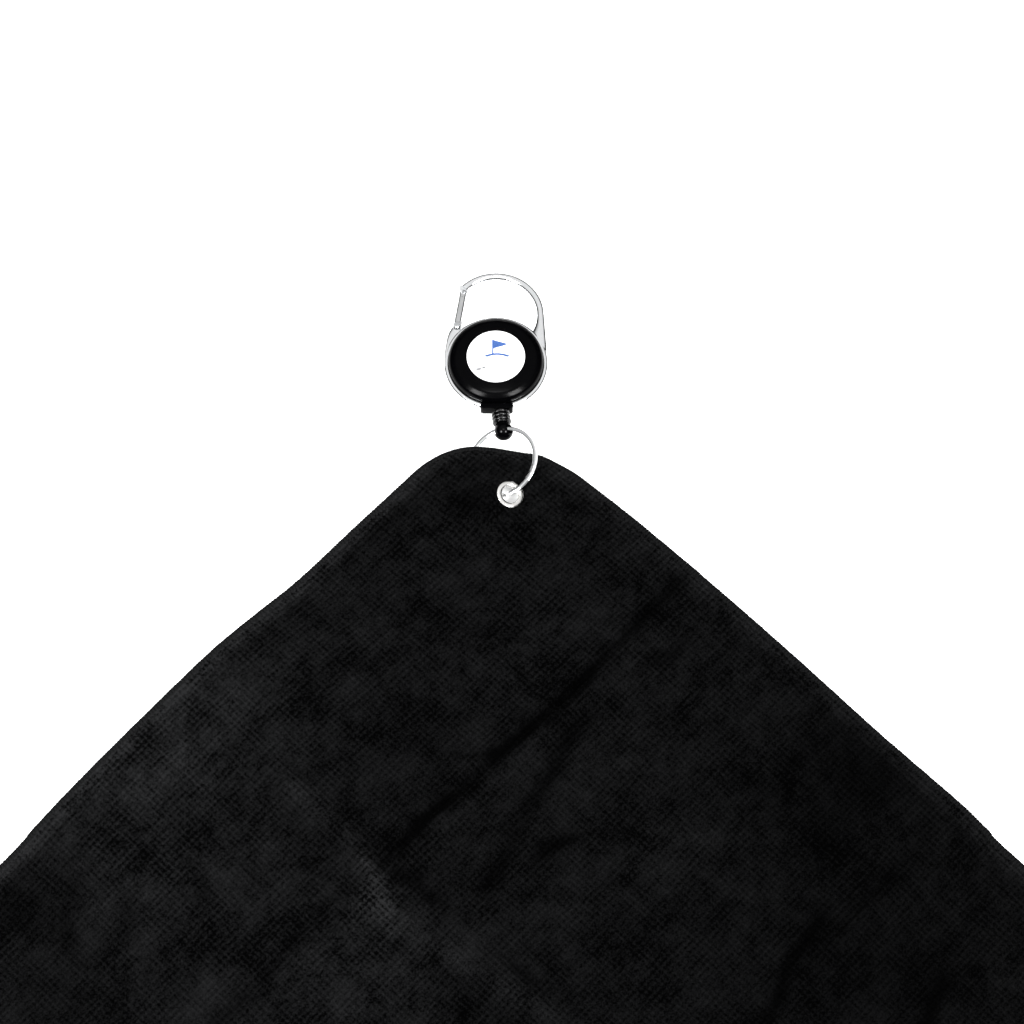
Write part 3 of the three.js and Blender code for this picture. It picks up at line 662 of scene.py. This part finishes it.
def make_inside():
    """What turns and pulls inside the casing."""
    spool = lathe("spool_drum", [
        (2.6, 1.6, 0.05), (13.5, 1.6, 0.15), (13.5, 2.2, 0.15), (9.3, 2.2, 0.1), (9.3, 5.6, 0.1),
        (13.5, 5.6, 0.15), (13.5, 6.2, 0.15), (8.6, 6.2, 0.1), (8.6, 2.2, 0.1), (2.6, 2.2, 0.05)], 128)
    windows = [move(rod("window", 0.9, 5, 7, 32), turned(72 * i) @ shift(11.4, 0)) for i in range(5)]
    place(carve(spool, windows), "spool", "inner_plastic", INNER, ["spool"])

    layers, rows, sides = 3, 3, 72
    wound = []
    for i in range(layers * rows * sides):
        layer, across = divmod(i / sides, rows)
        across = across if layer % 2 == 0 else rows - across
        reach = 10.05 + 0.8 * layer
        turn = 2 * pi * i / sides
        wound.append((reach * cos(turn), reach * sin(turn), 3.0 + 1.8 * across / rows))
    place(tube("wound_cord", wound, 0.39, 10), "spool", "cord_nylon", CORD, ["cord_winding"])

    section = ((-0.12, 2.5), (0.12, 2.5), (0.12, 5.3), (-0.12, 5.3))
    strip = [[(1.5, side, height) for side, height in section]]
    steps = 6 * 40
    for i in range(steps + 1):
        radius = 2.9 + 5.2 * i / steps
        turn = 12 * pi * i / steps
        strip.append([((radius + side) * cos(turn), (radius + side) * sin(turn), height)
                      for side, height in section])
    place(skin("spring_strip", strip, False), "reel", "steel", STEEL, ["power_spring"])

    screw = lathe("casing_screw", [
        (0, 3.0, 0), (0.8, 3.5, 0.15), (0.8, 7.4, 0), (2.0, 7.4, 0.05), (2.0, 7.75, 0.2), (0, 7.75, 0)], 64)
    slots = [move(block("slot", (-1.2, 1.2), (-0.22, 0.22), (7.35, 8)), turned(angle)) for angle in (20, 110)]
    place(carve(screw, slots), "reel", "steel", STEEL, ["spool_screw"])


make_clip_frame()
make_gate()
make_casing()
make_label()
make_outlet()
make_inside()

# ------------------------------------------------------------------ 4 cord, fitting and split ring
MOUTH = np.array((1.5, -18.8, 4.0))
BALL_CENTRE = np.array((2.6, -26.6, 5.2))
BALL_RADIUS = 3.15
FITTING_AXIS = unit(BALL_CENTRE - MOUTH)
BALL_AT = float(np.linalg.norm(BALL_CENTRE - MOUTH))
SLEEVE_RADIUS = 3.1
SPLIT_CENTRE = (2.35, -38.35, 5.54)
SPLIT_RADIUS = 11.8
SPLIT_ROLL = 24
SPLIT_PITCH = 3
CORD_RADIUS = 0.45
HALF_STRETCH = 0.35


def on_fitting(obj):
    """From a profile that starts at the origin along +Z to the fitting's own axis."""
    turn = Vector((0, 0, 1)).rotation_difference(Vector(FITTING_AXIS)).to_matrix().to_4x4()
    return move(obj, shift(*MOUTH) @ turn)


def make_sleeve():
    """The ribbed rubber boot on the cord's end."""
    groove = SLEEVE_RADIUS - 0.72
    ribs = []
    for start in (0.5, 2.0, 3.5):
        ribs += [(SLEEVE_RADIUS, start, 0.42), (SLEEVE_RADIUS, start + 1.08, 0.42),
                 (groove, start + 1.12, 0.12), (groove, start + 1.46, 0.12)]
    boot = lathe("ribbed_boot", [
        (0.8, 0.5, 0.1), *ribs, (2.45, 5.1, 0.1), (2.2, 5.1, 0.05), (2.2, 3.4, 0), (0.8, 3.4, 0)], 96)
    place(on_fitting(boot), "cord_end", "black_rubber", RUBBER, ["cord_sleeve"])


def make_ball():
    """The moulded ball with the hole that the split ring runs through."""
    neck, neck_end = 1.9, 3.7
    meet = degrees(asin(neck / BALL_RADIUS))
    globe = arc((0, BALL_AT), BALL_RADIUS, -90 + meet, 90, 40)
    profile = [(r, z, 0) for r, z in globe[:-1]]
    ball = lathe("swivel_ball", [*profile, (0, BALL_AT + BALL_RADIUS, 0), (0, 5.2, 0), (1.3, 5.2, 0.1),
                                 (1.3, neck_end, 0.05), (neck, neck_end, 0.1)], 96)
    hole_place = shift(*BALL_CENTRE[:2], BALL_CENTRE[2] + 0.85) @ turned(90 - SPLIT_ROLL, "Y")
    carve(on_fitting(ball), [move(rod("hole", 1.6, -4, 4, 64), hole_place)])
    place(ball, "cord_end", "black_plastic", BALL_BLACK, ["ball_link"])


def make_cord():
    """The cord from the spool, out through the block and into the boot, with its stopper knot. On the real
    reel it pays out between the block's mouth and the boot when the towel is pulled."""
    inner = curve_through([(8.7, -9.6, 3.9), (6.6, -11.5, 3.9), (4.6, -13.3, 3.9), (3.0, -14.8, 3.9),
                           (2.0, -16.1, 3.9), (1.6, -17.3, 3.95), (1.5, -18.3, 3.98)], 6)
    stretched = np.linspace(-HALF_STRETCH, HALF_STRETCH, 9)
    outer = [MOUTH + FITTING_AXIS * distance for distance in (*stretched, 1.5, 3.0, 4.3)]
    cord = tube("pull_cord", [*inner, *outer], CORD_RADIUS, 12)
    wraps = [(0.62 * cos(t), 0.62 * sin(t) * 0.9, 4.25 + 0.22 * sin(1.5 * t))
             for t in np.linspace(0, 4 * pi, 48, endpoint=False)]
    knot = on_fitting(tube("stopper_knot", wraps, 0.3, 8, is_loop=True))
    cord.data.materials.append(CORD)
    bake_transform(cord)
    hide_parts("cord_lead")
    place(knot, "cord_end", "cord_nylon", CORD, ["cord_knot"])


def make_split_ring():
    """Two coils of flattened wire, cut square at both ends, which lie under the cloth."""
    turns, steps, wide, thick, rise = 1.93, 300, 1.3, 0.5, 0.6
    section = oval(wide, thick, 3.0, 20)
    rings = []
    for i in range(steps + 1):
        turn = radians(205) + 2 * pi * turns * i / steps
        height = 0.3 + rise * turns * (i / steps - 0.5)
        rings.append([((SPLIT_RADIUS + out) * cos(turn), (SPLIT_RADIUS + out) * sin(turn), height + up)
                      for out, up in section])
    tilt = turned(SPLIT_PITCH, "X") @ turned(-SPLIT_ROLL, "Y")
    wire = move(skin("split_ring_wire", rings, False), shift(*SPLIT_CENTRE) @ tilt)
    place(wire, "ring", "chrome_plate", CHROME, ["split_ring"])


make_sleeve()
make_ball()
make_cord()
make_split_ring()

# ------------------------------------------------------------------ 5 towel
TOWEL_LONG = 610.0
TOWEL_SHORT = 406.0
TOWEL_CORNER = np.array((-2.7, -15.2))
TOWEL_TURN = radians(226.4)
ALONG = np.array((cos(TOWEL_TURN), sin(TOWEL_TURN)))
ACROSS = np.array((-sin(TOWEL_TURN), cos(TOWEL_TURN)))
NEAR_CUT = (22.9, 31.1)
NEAR_ROUND = 26.0
FAR_ROUND = 41.0
HALF_CLOTH = 0.9
HALF_EDGE = 0.55
HALF_PRESSED = 0.25
GROMMET = np.array((4.6, -50.5))
GROMMET_Z = 5.9
GROMMET_SLOPE = np.array((-0.33, 0.16))
GROMMET_BORE = 2.8
GROMMET_OUTER = 4.55
CLOTH_HOLE = 3.55
HUMP_CENTRE = np.array((-2.9, -43.1))
HUMP_HEIGHT = 7.0
HUMP_RADIUS = 28.0
GRID = 2.6
FLOOR_GAP = 0.06
# where each edge strays from straight: (distance along the edge, how far inwards)
LONG_EDGE = [(0, -0.5), (60, -0.5), (88, -0.3), (103, -1.4), (124, -2.8), (150, -2.4), (184, -1.2),
             (206, 0.3), (223, 1.8), (300, 3.5), (420, 0.5), (520, -1.5), (610, 0)]
SHORT_EDGE = [(0, -0.4), (19, -0.4), (25.5, -1.8), (33, -1.5), (45, -2.2), (68, -3.0), (100, -3.0),
              (132, -2.4), (164, -1.2), (180, -0.8), (205, -0.5), (218, 0.3), (231, 1.5), (300, 2.2),
              (406, 0)]
FAR_LONG_EDGE = [(0, 0), (120, 2.0), (260, -1.8), (400, 2.6), (520, 0.6), (610, 0)]
FAR_SHORT_EDGE = [(0, 0), (110, 2.2), (220, -1.6), (320, 1.5), (406, 0)]


def strays(edge, distance):
    """A smooth line through an edge's few given points."""
    line = curve_through(edge, 12)
    return np.interp(distance, line[:, 0], line[:, 1])


def laid(flat):
    """Where a place on the flat cloth lies on the table, seen from above."""
    u, v = flat[:, 0], flat[:, 1]
    reach = 90.0
    inward = strays(LONG_EDGE, u) * (1 - smoothstep(v, 0, reach))
    inward -= strays(FAR_LONG_EDGE, u) * (1 - smoothstep(TOWEL_SHORT - v, 0, reach))
    along = strays(SHORT_EDGE, v) * (1 - smoothstep(u, 0, reach))
    along -= strays(FAR_SHORT_EDGE, v) * (1 - smoothstep(TOWEL_LONG - u, 0, reach))
    return TOWEL_CORNER + np.outer(u + along, ALONG) + np.outer(v + inward, ACROSS)


def cloud(u, v, size, seed):
    """Smooth noise from -1 to 1 with the given feature size."""
    return np.array([noise.noise(Vector((a, b, seed))) for a, b in zip(u / size, v / size)])


# Creases left by the packing and by handling: the axis each runs along (0 is the long edge's), a few places
# (along, aside) it passes, its depth (a valley) or height (negative, a ridge), its half width, and its
# painted shade (negative, darker) or painted highlight (positive, lighter) on the pile.
CREASES = [
    (0, [(-4, 88), (20, 90), (55, 92), (90, 90), (120, 89), (146, 88.5)], 2.4, 1.9, -0.62),
    (0, [(150, 88.5), (164, 85), (175, 87), (208, 88), (300, 86), (420, 90), (614, 88)], 1.4, 2.0, -0.40),
    (0, [(50, 99), (70, 102), (83, 107), (97, 110), (121, 117), (132, 116)], 1.5, 2.4, -0.42),
    (0, [(12, 107), (25, 106), (42, 101)], 0.9, 2.2, -0.32),
    (0, [(87, 131), (95, 126), (106, 123), (113, 122)], 1.1, 2.2, -0.45),
    (0, [(84, 90), (94, 85), (103, 74)], 0.9, 2.0, -0.35),
    (0, [(20, 4), (41, 4.5), (56, 6), (82, 5)], 0.7, 1.6, -0.35),
    (0, [(50, 197), (60, 200), (80, 204), (96, 210), (130, 214)], 1.3, 1.8, -0.34),
    (0, [(38, 236), (60, 246), (84, 250)], 1.1, 2.2, -0.28),
    (0, [(180, 53), (196, 58)], 0.9, 3.0, -0.30),
    (0, [(200, 40), (216, 48)], 0.9, 3.0, -0.32),
    (0, [(203, 18), (218, 26), (232, 42)], 1.3, 3.5, -0.38),
    (0, [(-4, 205), (150, 208), (330, 204), (614, 207)], 1.0, 2.0, -0.10),
    (0, [(-4, 306), (200, 303), (420, 308), (614, 305)], -1.6, 5.0, 0.22),
    (1, [(38, 136), (48, 136.5), (60, 135)], 1.0, 1.6, -0.42),
    (1, [(44, 142), (61, 141.5), (72, 141.5), (84, 143)], -1.5, 2.2, 0.42),
    (1, [(80, 143), (86, 144.5), (91, 145)], -1.6, 1.2, 1.5),
    (1, [(92, 130), (97, 134), (105, 138), (118, 134)], 1.0, 2.0, -0.40),
    (1, [(100, 147.5), (115, 149), (129, 146), (150, 142), (168, 140)], -1.4, 2.6, 0.34),
    (1, [(136, 138), (146, 136.5), (158, 135)], 0.9, 1.8, -0.30),
    (1, [(180, 141), (260, 146), (330, 143), (410, 146)], -1.4, 3.2, 0.25),
    (1, [(-4, 305), (130, 302), (280, 307), (410, 304)], 1.8, 2.4, -0.42),
    (1, [(-4, 458), (150, 461), (300, 455), (410, 459)], -1.8, 4.0, 0.26),
]
# painted light and shade on the pile, in soft patches: centre, radius and strength
SHADES = [((146, 12), 24, 0.70), ((168, 8), 16, 0.45), ((186, 10), 18, 0.40), ((166, 106), 22, 0.55),
          ((146, 91), 3.0, 1.6), ((150, 95.5), 4.5, 3.2), ((154, 101), 7, 0.8), ((140, 97), 3.2, -0.9),
          ((240, 46), 28, -0.45), ((192, 38), 18, 0.30), ((228, 12), 16, -0.45),
          ((12, 175), 26, -0.36), ((60, 225), 45, -0.28), ((31, 22), 8, -0.6), ((110, 60), 20, -0.12),
          ((75, 150), 14, 0.2), ((60, 75), 18, 0.12)]


def follow(crease, along, seed):
    """How far aside a crease lies, with a slight wander."""
    line = curve_through(crease[1], 10)
    wander = 0.9 * cloud(along, along * 0, 26, seed) + 0.35 * cloud(along, along * 0, 8, seed + 5)
    return np.interp(along, line[:, 0], line[:, 1]) + wander


def creases(u, v):
    """Height of the creases, and the painted light and shade on the pile: painted shade in valleys, painted
    highlight on ridges, and the SHADES patches.
    """
    height = np.zeros(len(u))
    painted_shading = np.zeros(len(u))
    ragged = cloud(u, v, 5.5, 71)
    for index, crease in enumerate(CREASES):
        axis, path, depth, wide, shade = crease
        along, aside = (u, v) if axis == 0 else (v, u)
        off = aside - follow(crease, along, 3.1 * index)
        fade = min(12.0, 0.35 * (path[-1][0] - path[0][0]))
        firm = smoothstep(along, path[0][0], path[0][0] + fade)
        firm *= 1 - smoothstep(along, path[-1][0] - fade, path[-1][0])
        firm *= np.clip(0.95 + 0.9 * cloud(along, along * 0, 22, 40 + index), 0.45, 1.25)
        core = np.exp(-((off / wide) ** 2))
        worn = np.exp(-((off * (1 + 0.5 * ragged) / (1.45 * wide)) ** 2))
        if depth > 0:
            height += depth * firm * np.exp(-((off / (3.4 * wide)) ** 2)) * (1 - core)
        else:
            height -= depth * firm * np.exp(-np.abs(off) / (1.4 * wide))
        # painted shade along each valley and painted highlight along each ridge
        painted_shading += 1.35 * shade * firm * (worn - 0.14 * np.exp(-((off / (3.4 * wide)) ** 2)))
    # painted light and shade in soft patches
    for centre, radius, strength in SHADES:
        apart = np.hypot(u - centre[0], v - centre[1])
        rough = 1 + 0.5 * cloud(u, v, 0.6 * radius, 61 + radius)
        painted_shading += strength * np.exp(-((apart * rough / radius) ** 2))
    return height, painted_shading


def undulation(u, v):
    """Loose cloth: broad swells with small wrinkles on them."""
    swell = 1.3 * (0.5 + cloud(u, v, 95, 1.3)) + 0.7 * (0.5 + cloud(u, v, 43, 7.7))
    small = 0.28 * (0.5 + cloud(u, v, 14, 5.9)) + 0.12 * (0.5 + cloud(u, v, 7, 8.8))
    wrinkle = (1 - np.abs(cloud(u + 14 * cloud(u, v, 60, 4.1), v, 36, 2.9)) * 2.4).clip(0, 1) ** 3
    return swell.clip(0) + small.clip(0) + 0.9 * wrinkle


def hump(xy):
    """Height of the cloth's underside where the split ring lifts the corner."""
    apart = np.minimum(np.hypot(*(xy - HUMP_CENTRE).T), HUMP_RADIUS)
    return HUMP_HEIGHT * (0.5 + 0.5 * np.cos(pi * apart / HUMP_RADIUS))


def cloth_heights(flat, xy, from_edge):
    """Height of the cloth's middle, half its thickness, and the painted light and shade on its pile."""
    u, v = flat.T
    away = np.hypot(*(xy - GROMMET).T)
    open_cloth = smoothstep(np.hypot(*(xy - HUMP_CENTRE).T), 20, 62)
    near_edge = smoothstep(from_edge, 0, 26)
    fold_height, painted_shading = creases(u, v)
    relief = fold_height * (0.25 + 0.75 * near_edge) + undulation(u, v) * (0.12 + 0.88 * near_edge)
    relief *= open_cloth
    half = HALF_CLOTH - (HALF_CLOTH - HALF_EDGE) * (1 - smoothstep(from_edge, 1.2, 5))
    half = HALF_PRESSED + (half - HALF_PRESSED) * smoothstep(away, 5.2, 7.6)
    pressed = GROMMET_Z + (xy - GROMMET) @ GROMMET_SLOPE
    share = smoothstep(away, 5, 12)
    lying = hump(xy) + relief + HALF_CLOTH + FLOOR_GAP
    turn = np.arctan2(*(xy - GROMMET).T)
    pucker = 0.16 * np.sin(9 * turn + 2 * cloud(u, v, 6, 8.2)) * np.exp(-(((away - 8.2) / 2.2) ** 2))
    middle = pressed * (1 - share) + lying * share + pucker
    # painted light: the pile is lighter towards the left and near the corner
    side = 0.10 * smoothstep(u - v, -160, 0) + 0.42 * smoothstep(u - v, 0, 170) - 0.30
    side += 0.12 * (1 - smoothstep(u + v, 60, 260))
    # painted light along the cut edge, stronger on the left
    rolled = (1 - smoothstep(from_edge, 2.5, 7)) * (1.0 * smoothstep(u - v, -20, 20) + 0.65)
    painted_light_and_shade = 0.2 * (1 + painted_shading + side + rolled).clip(0.1)
    return middle, half, painted_light_and_shade


def round_loop(closed, distance):
    """Points at the given distances round a closed line."""
    run = walked(closed)
    return np.column_stack([np.interp(distance % run[-1], run, closed[:, k]) for k in (0, 1)])


def flat_outline():
    """The cut edge in the cloth's own coordinates, counter-clockwise, evenly spaced."""
    corners = [(NEAR_CUT[0], 0, NEAR_ROUND), (TOWEL_LONG, 0, FAR_ROUND), (TOWEL_LONG, TOWEL_SHORT, FAR_ROUND),
               (0, TOWEL_SHORT, FAR_ROUND), (0, NEAR_CUT[1], NEAR_ROUND)]
    line = np.array(rounded(corners))
    closed = np.vstack((line, line[0]))
    length = walked(closed)[-1]
    return round_loop(closed, np.linspace(0, length, round(length / 2.2), endpoint=False))


def from_line(points, line):
    """Distance from each point to the nearest of a line's points."""
    tree = kdtree.KDTree(len(line))
    for i, (a, b) in enumerate(line):
        tree.insert((a, b, 0), i)
    tree.balance()
    return np.array([tree.find((a, b, 0))[2] for a, b in points])


def inverse_laid(xy):
    """The flat place of a point near the grommet, where the edges' straying is small."""
    flat = np.array([((xy - TOWEL_CORNER) @ ALONG, (xy - TOWEL_CORNER) @ ACROSS)])
    for _ in range(6):
        off = laid(flat)[0] - xy
        flat = flat - np.array([(off @ ALONG, off @ ACROSS)])
    return flat[0]


def cloth_faces(outline, centre):
    """Points and faces of the flat cloth: rows along its edges and round the grommet, and a grid between."""
    circle = np.array([(cos(turn), sin(turn)) for turn in even_turns(48)])
    hole = centre + CLOTH_HOLE * circle
    rows = [inset(outline, distance) for distance in (0.5, 1.5, 3.2)]
    rows += [centre + radius * circle for radius in (4.4, 5.3, 6.3, 7.5, 9.2)]
    across, down = (np.arange(GRID / 2, length, GRID) for length in (TOWEL_LONG, TOWEL_SHORT))
    grid = np.array([(a, b) for a in across for b in down])
    along_creases = crease_rows(outline)
    inside = from_line(grid, np.vstack((outline, inset(outline, 1.5)))) > 3.2
    inside &= from_line(grid, along_creases) > 1.7
    inside &= np.hypot(*(grid - centre).T) > 10.6
    near_cut = grid @ np.array((NEAR_CUT[1], NEAR_CUT[0])) > NEAR_CUT[0] * NEAR_CUT[1]
    grid = grid[inside & near_cut & in_outline(grid)]
    apart = np.hypot(*(along_creases - centre).T) > 11
    points = np.vstack((outline, hole, *rows, along_creases[apart], grid))
    loops = [(0, len(outline)), (len(outline), len(hole))]
    edges = [(start + k, start + (k + 1) % count) for start, count in loops for k in range(count)]
    made = delaunay_2d_cdt([Vector(p) for p in points], edges, [], 1, 1e-5)
    flat = np.array([tuple(p) for p in made[0]])
    faces = [f for f in made[2] if np.hypot(*(flat[list(f)].mean(0) - centre)) > CLOTH_HOLE]
    return quads(flat, faces)


def crease_rows(outline):
    """Points in rows along each crease, so that it stays sharp, and no two of them too close."""
    rows = []
    for index, crease in enumerate(CREASES):
        axis, path, _, wide, _ = crease
        along = np.arange(max(path[0][0], 4) + 0.1 * index, min(path[-1][0], (606, 402)[axis]), 2.3)
        aside = follow(crease, along, 3.1 * index)
        for share in (0, -0.6, 0.6, -1.3, 1.3):
            pair = (along, aside + share * wide)
            rows.append(np.column_stack(pair if axis == 0 else pair[::-1]))
    kept, taken = [], {}
    for a, b in np.vstack(rows):
        cell = (int(a // 1.1), int(b // 1.1))
        near = [taken.get((cell[0] + i, cell[1] + j)) for i in (-1, 0, 1) for j in (-1, 0, 1)]
        if all(other is None or dist(other, (a, b)) > 0.95 for other in near):
            taken[cell] = (a, b)
            kept.append((a, b))
    kept = np.array(kept)
    return kept[in_outline(kept) & (from_line(kept, outline) > 4.2) & (kept.min(1) > 4.2)]


def in_outline(points):
    """True inside the rounded rectangle."""
    u, v = points.T
    keep = np.ones(len(points), bool)
    for a, b in ((TOWEL_LONG, 0), (TOWEL_LONG, TOWEL_SHORT), (0, TOWEL_SHORT)):
        centre_u = abs(a - FAR_ROUND)
        centre_v = abs(b - FAR_ROUND)
        beyond = ((u - centre_u) * (1 if a else -1) > 0) & ((v - centre_v) * (1 if b else -1) > 0)
        keep &= ~(beyond & (np.hypot(u - centre_u, v - centre_v) > FAR_ROUND - 3))
    return keep


def quads(flat, faces):
    """Joins pairs of triangles into squares where they make one."""
    work = bmesh.new()
    corners = [work.verts.new((a, b, 0)) for a, b in flat]
    for face in faces:
        work.faces.new([corners[i] for i in face])
    bmesh.ops.join_triangles(work, faces=work.faces, angle_face_threshold=3.1, angle_shape_threshold=0.5)
    work.verts.index_update()
    joined = [tuple(v.index for v in face.verts) for face in work.faces]
    used = sorted({i for face in joined for i in face})
    renumber = {old: new for new, old in enumerate(used)}
    work.free()
    return flat[used], [tuple(renumber[i] for i in face) for face in joined]


def make_towel():
    """The towel as a closed sheet with a top, an underside, a cut edge and the grommet's hole."""
    outline = flat_outline()
    centre = inverse_laid(GROMMET)
    flat, faces = cloth_faces(outline, centre)
    xy = laid(flat)
    from_edge = from_line(flat, outline)
    middle, half, painted_light_and_shade = cloth_heights(flat, xy, from_edge)
    half = half * (0.45 + 0.55 * smoothstep(from_edge, 0, 1.5))
    count = len(flat)
    points = np.vstack((np.column_stack((xy, middle + half)), np.column_stack((xy, middle - half))))
    edges = dict.fromkeys((a, b) for face in faces for a, b in zip(face, face[1:] + face[:1]))
    rim = [(a, b) for a, b in edges if (b, a) not in edges]
    under = [tuple(count + i for i in reversed(face)) for face in faces]
    walls = [(b, a, count + a, count + b) for a, b in rim]
    mesh = bpy.data.meshes.new("towel_sheet")
    mesh.from_pydata((points * MM).tolist(), [], [*faces, *under, *walls])
    place_on = mesh.attributes.new("flat_place", "FLOAT_VECTOR", "POINT")
    both = np.vstack((flat, flat))
    place_on.data.foreach_set("vector", (np.column_stack((both, np.zeros(2 * count))) * MM).ravel())
    mesh.attributes.new("painted_light_and_shade", "FLOAT", "POINT").data.foreach_set("value", np.concatenate((painted_light_and_shade, painted_light_and_shade)))
    towel = link(bpy.data.objects.new("towel_sheet", mesh))
    work = bmesh.new()
    work.from_mesh(mesh)
    bmesh.ops.recalc_face_normals(work, faces=work.faces)
    work.to_mesh(mesh)
    work.free()
    smooth_shade(towel, radians(70))
    return place(towel, "towel", "towel_fabric", CLOTH, ["towel_cloth"]), outline


def make_hem(outline):
    """One long flat yarn wound over the cut edge."""
    pitch, per_turn, wide, thick, sides = 1.12, 9, 0.94, 0.2, 6
    closed = np.vstack((outline, outline[0]))
    length = walked(closed)[-1]
    turn = 2 * pi * np.arange(round(length / pitch) * per_turn) / per_turn
    step = np.linspace(0, length, len(turn), endpoint=False) + 0.3 * pitch * np.sin(turn)
    forward = units(round_loop(closed, step + 0.6) - round_loop(closed, step - 0.6))
    inward = np.column_stack((-forward[:, 1], forward[:, 0]))
    loose = 1 + 0.10 * cloud(step, step * 0, 1.3, 6.6)
    reach, rise = 0.98 * loose, (HALF_EDGE + 0.14) * loose
    depth = 0.86 - reach * np.cos(turn)
    flat = round_loop(closed, step) + inward * depth[:, None]
    xy = laid(flat)
    middle = cloth_heights(flat, xy, np.maximum(depth, 0))[0]
    centre = np.column_stack((xy, middle + rise * np.sin(turn)))
    side = np.column_stack((np.outer(forward[:, 0], ALONG) + np.outer(forward[:, 1], ACROSS), 0 * turn))
    out = -(np.outer(inward[:, 0], ALONG) + np.outer(inward[:, 1], ACROSS))
    outwards = np.column_stack((out * np.cos(turn)[:, None], np.sin(turn)))
    rings = []
    for across, up in oval(wide, thick, 2.0, sides):
        rings.append(centre + side * across + outwards * (up + 0.1))
    hem = skin("overlock_hem", list(np.stack(rings, axis=1)), True)
    return place(hem, "towel", "hem_yarn", THREAD, ["hem_thread"])


def on_grommet(obj):
    """From the grommet's own axis to the cloth's slope there."""
    normal = Vector((-GROMMET_SLOPE[0], -GROMMET_SLOPE[1], 1))
    turn = Vector((0, 0, 1)).rotation_difference(normal).to_matrix().to_4x4()
    return move(obj, shift(*GROMMET, GROMMET_Z) @ turn)


def make_grommet():
    """A two-part eyelet: the flanged barrel from above, rolled over the washer below."""
    barrel = GROMMET_BORE + 0.25
    flange = [(barrel, 0.55, 0.05), (GROMMET_OUTER, 0.55, 0.04), (GROMMET_OUTER - 0.02, 0.72, 0.05),
              (4.15, 0.9, 0.5), (3.5, 0.97, 0.5), (2.95, 0.8, 0.3)]
    curl = [(GROMMET_BORE, 0.45, 0.2), (GROMMET_BORE, -0.85, 0.3), (3.05, -1.15, 0.15), (3.5, -1.24, 0.2),
            (4.0, -1.17, 0.03), (4.0, -1.05, 0.03), (3.5, -1.05, 0.05), (barrel, -0.88, 0.1)]
    eyelet = lathe("eyelet_barrel", flange + curl, 128)
    place(on_grommet(eyelet), "towel", "chrome_plate", NICKEL, ["grommet_eyelet"])
    washer = lathe("washer_ring", [
        (3.35, -0.55, 0.03), (GROMMET_OUTER, -0.55, 0.03), (GROMMET_OUTER, -0.65, 0.03),
        (4.1, -0.78, 0.1), (3.35, -0.75, 0.03)], 128)
    place(on_grommet(washer), "towel", "chrome_plate", NICKEL, ["grommet_washer"])


towel, outline = make_towel()
hem = make_hem(outline)
make_grommet()

# the CAD's own plunger keeps its shape
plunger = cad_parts["gate_plunger"]
plunger.data.materials.clear()
plunger.data.materials.append(STEEL)

# ------------------------------------------------------------------ 6 stage, lights and camera
CAMERA_PLACE = (0.0054, -0.557, 1.0256)  # metres
CAMERA_TILT = 26.13
CAMERA_LENS = 121.75
BOX_DISTANCE = 1.6  # metres


def make_floor():
    bpy.ops.mesh.primitive_plane_add(size=60, location=(0, 0, -0.0002))
    floor = bpy.context.object
    floor.name = "floor"
    made = Finish("pale_floor", Roughness=1.0, Specular_IOR_Level=0.0, Emission_Color=(1, 1, 1, 1),
                  Emission_Strength=0.4)
    made.colour(made.noise(3, 2), (0.90, 0.90, 0.90), (0.92, 0.92, 0.92))
    floor.data.materials.append(made.material)


def make_world():
    """A bright, even dome that darkens towards the horizon."""
    world = bpy.data.worlds.new("studio")
    bpy.context.scene.world = world
    world.use_nodes = True
    nodes, links = world.node_tree.nodes, world.node_tree.links
    spot = nodes.new("ShaderNodeTexCoord").outputs["Generated"]
    height = nodes.new("ShaderNodeSeparateXYZ")
    links.new(spot, height.inputs[0])
    level = nodes.new("ShaderNodeMapRange")
    level.interpolation_type = "SMOOTHSTEP"
    for socket, value in (("From Min", 0.38), ("From Max", 0.84), ("To Min", 0.02), ("To Max", 0.90)):
        level.inputs[socket].default_value = value
    links.new(height.outputs[2], level.inputs["Value"])
    nodes["Background"].inputs["Color"].default_value = (1, 1, 1, 1)
    links.new(level.outputs[0], nodes["Background"].inputs["Strength"])


def softbox(name, azimuth, elevation, size, power):
    """An area light aimed at the reel. Azimuth 0 is on the camera's side, and 90 on the right."""
    data = bpy.data.lights.new(name, "AREA")
    data.shape = "RECTANGLE"
    data.size, data.size_y = size
    data.energy = power
    lamp = link(bpy.data.objects.new(name, data))
    a, e = radians(azimuth), radians(elevation)
    away = Vector((sin(a) * cos(e), -cos(a) * cos(e), sin(e)))
    lamp.location = away * BOX_DISTANCE
    lamp.rotation_euler = away.to_track_quat("Z", "Y").to_euler()


def make_camera():
    """The view from 64 degrees above the table, through a long lens."""
    data = bpy.data.cameras.new("camera")
    data.lens = CAMERA_LENS
    data.sensor_width = 36
    data.clip_start, data.clip_end = 0.05, 200
    camera = link(bpy.data.objects.new("camera", data))
    camera.location = CAMERA_PLACE
    camera.rotation_euler = (radians(CAMERA_TILT), 0, 0)
    bpy.context.scene.camera = camera


make_floor()
make_world()
softbox("left_front", -44, 48, (0.46, 0.46), 40)
softbox("right_front", 44, 48, (0.46, 0.46), 40)
softbox("overhead", 0, 86, (0.50, 0.40), 6)
make_camera()
bpy.context.scene.view_settings.view_transform = "Standard"
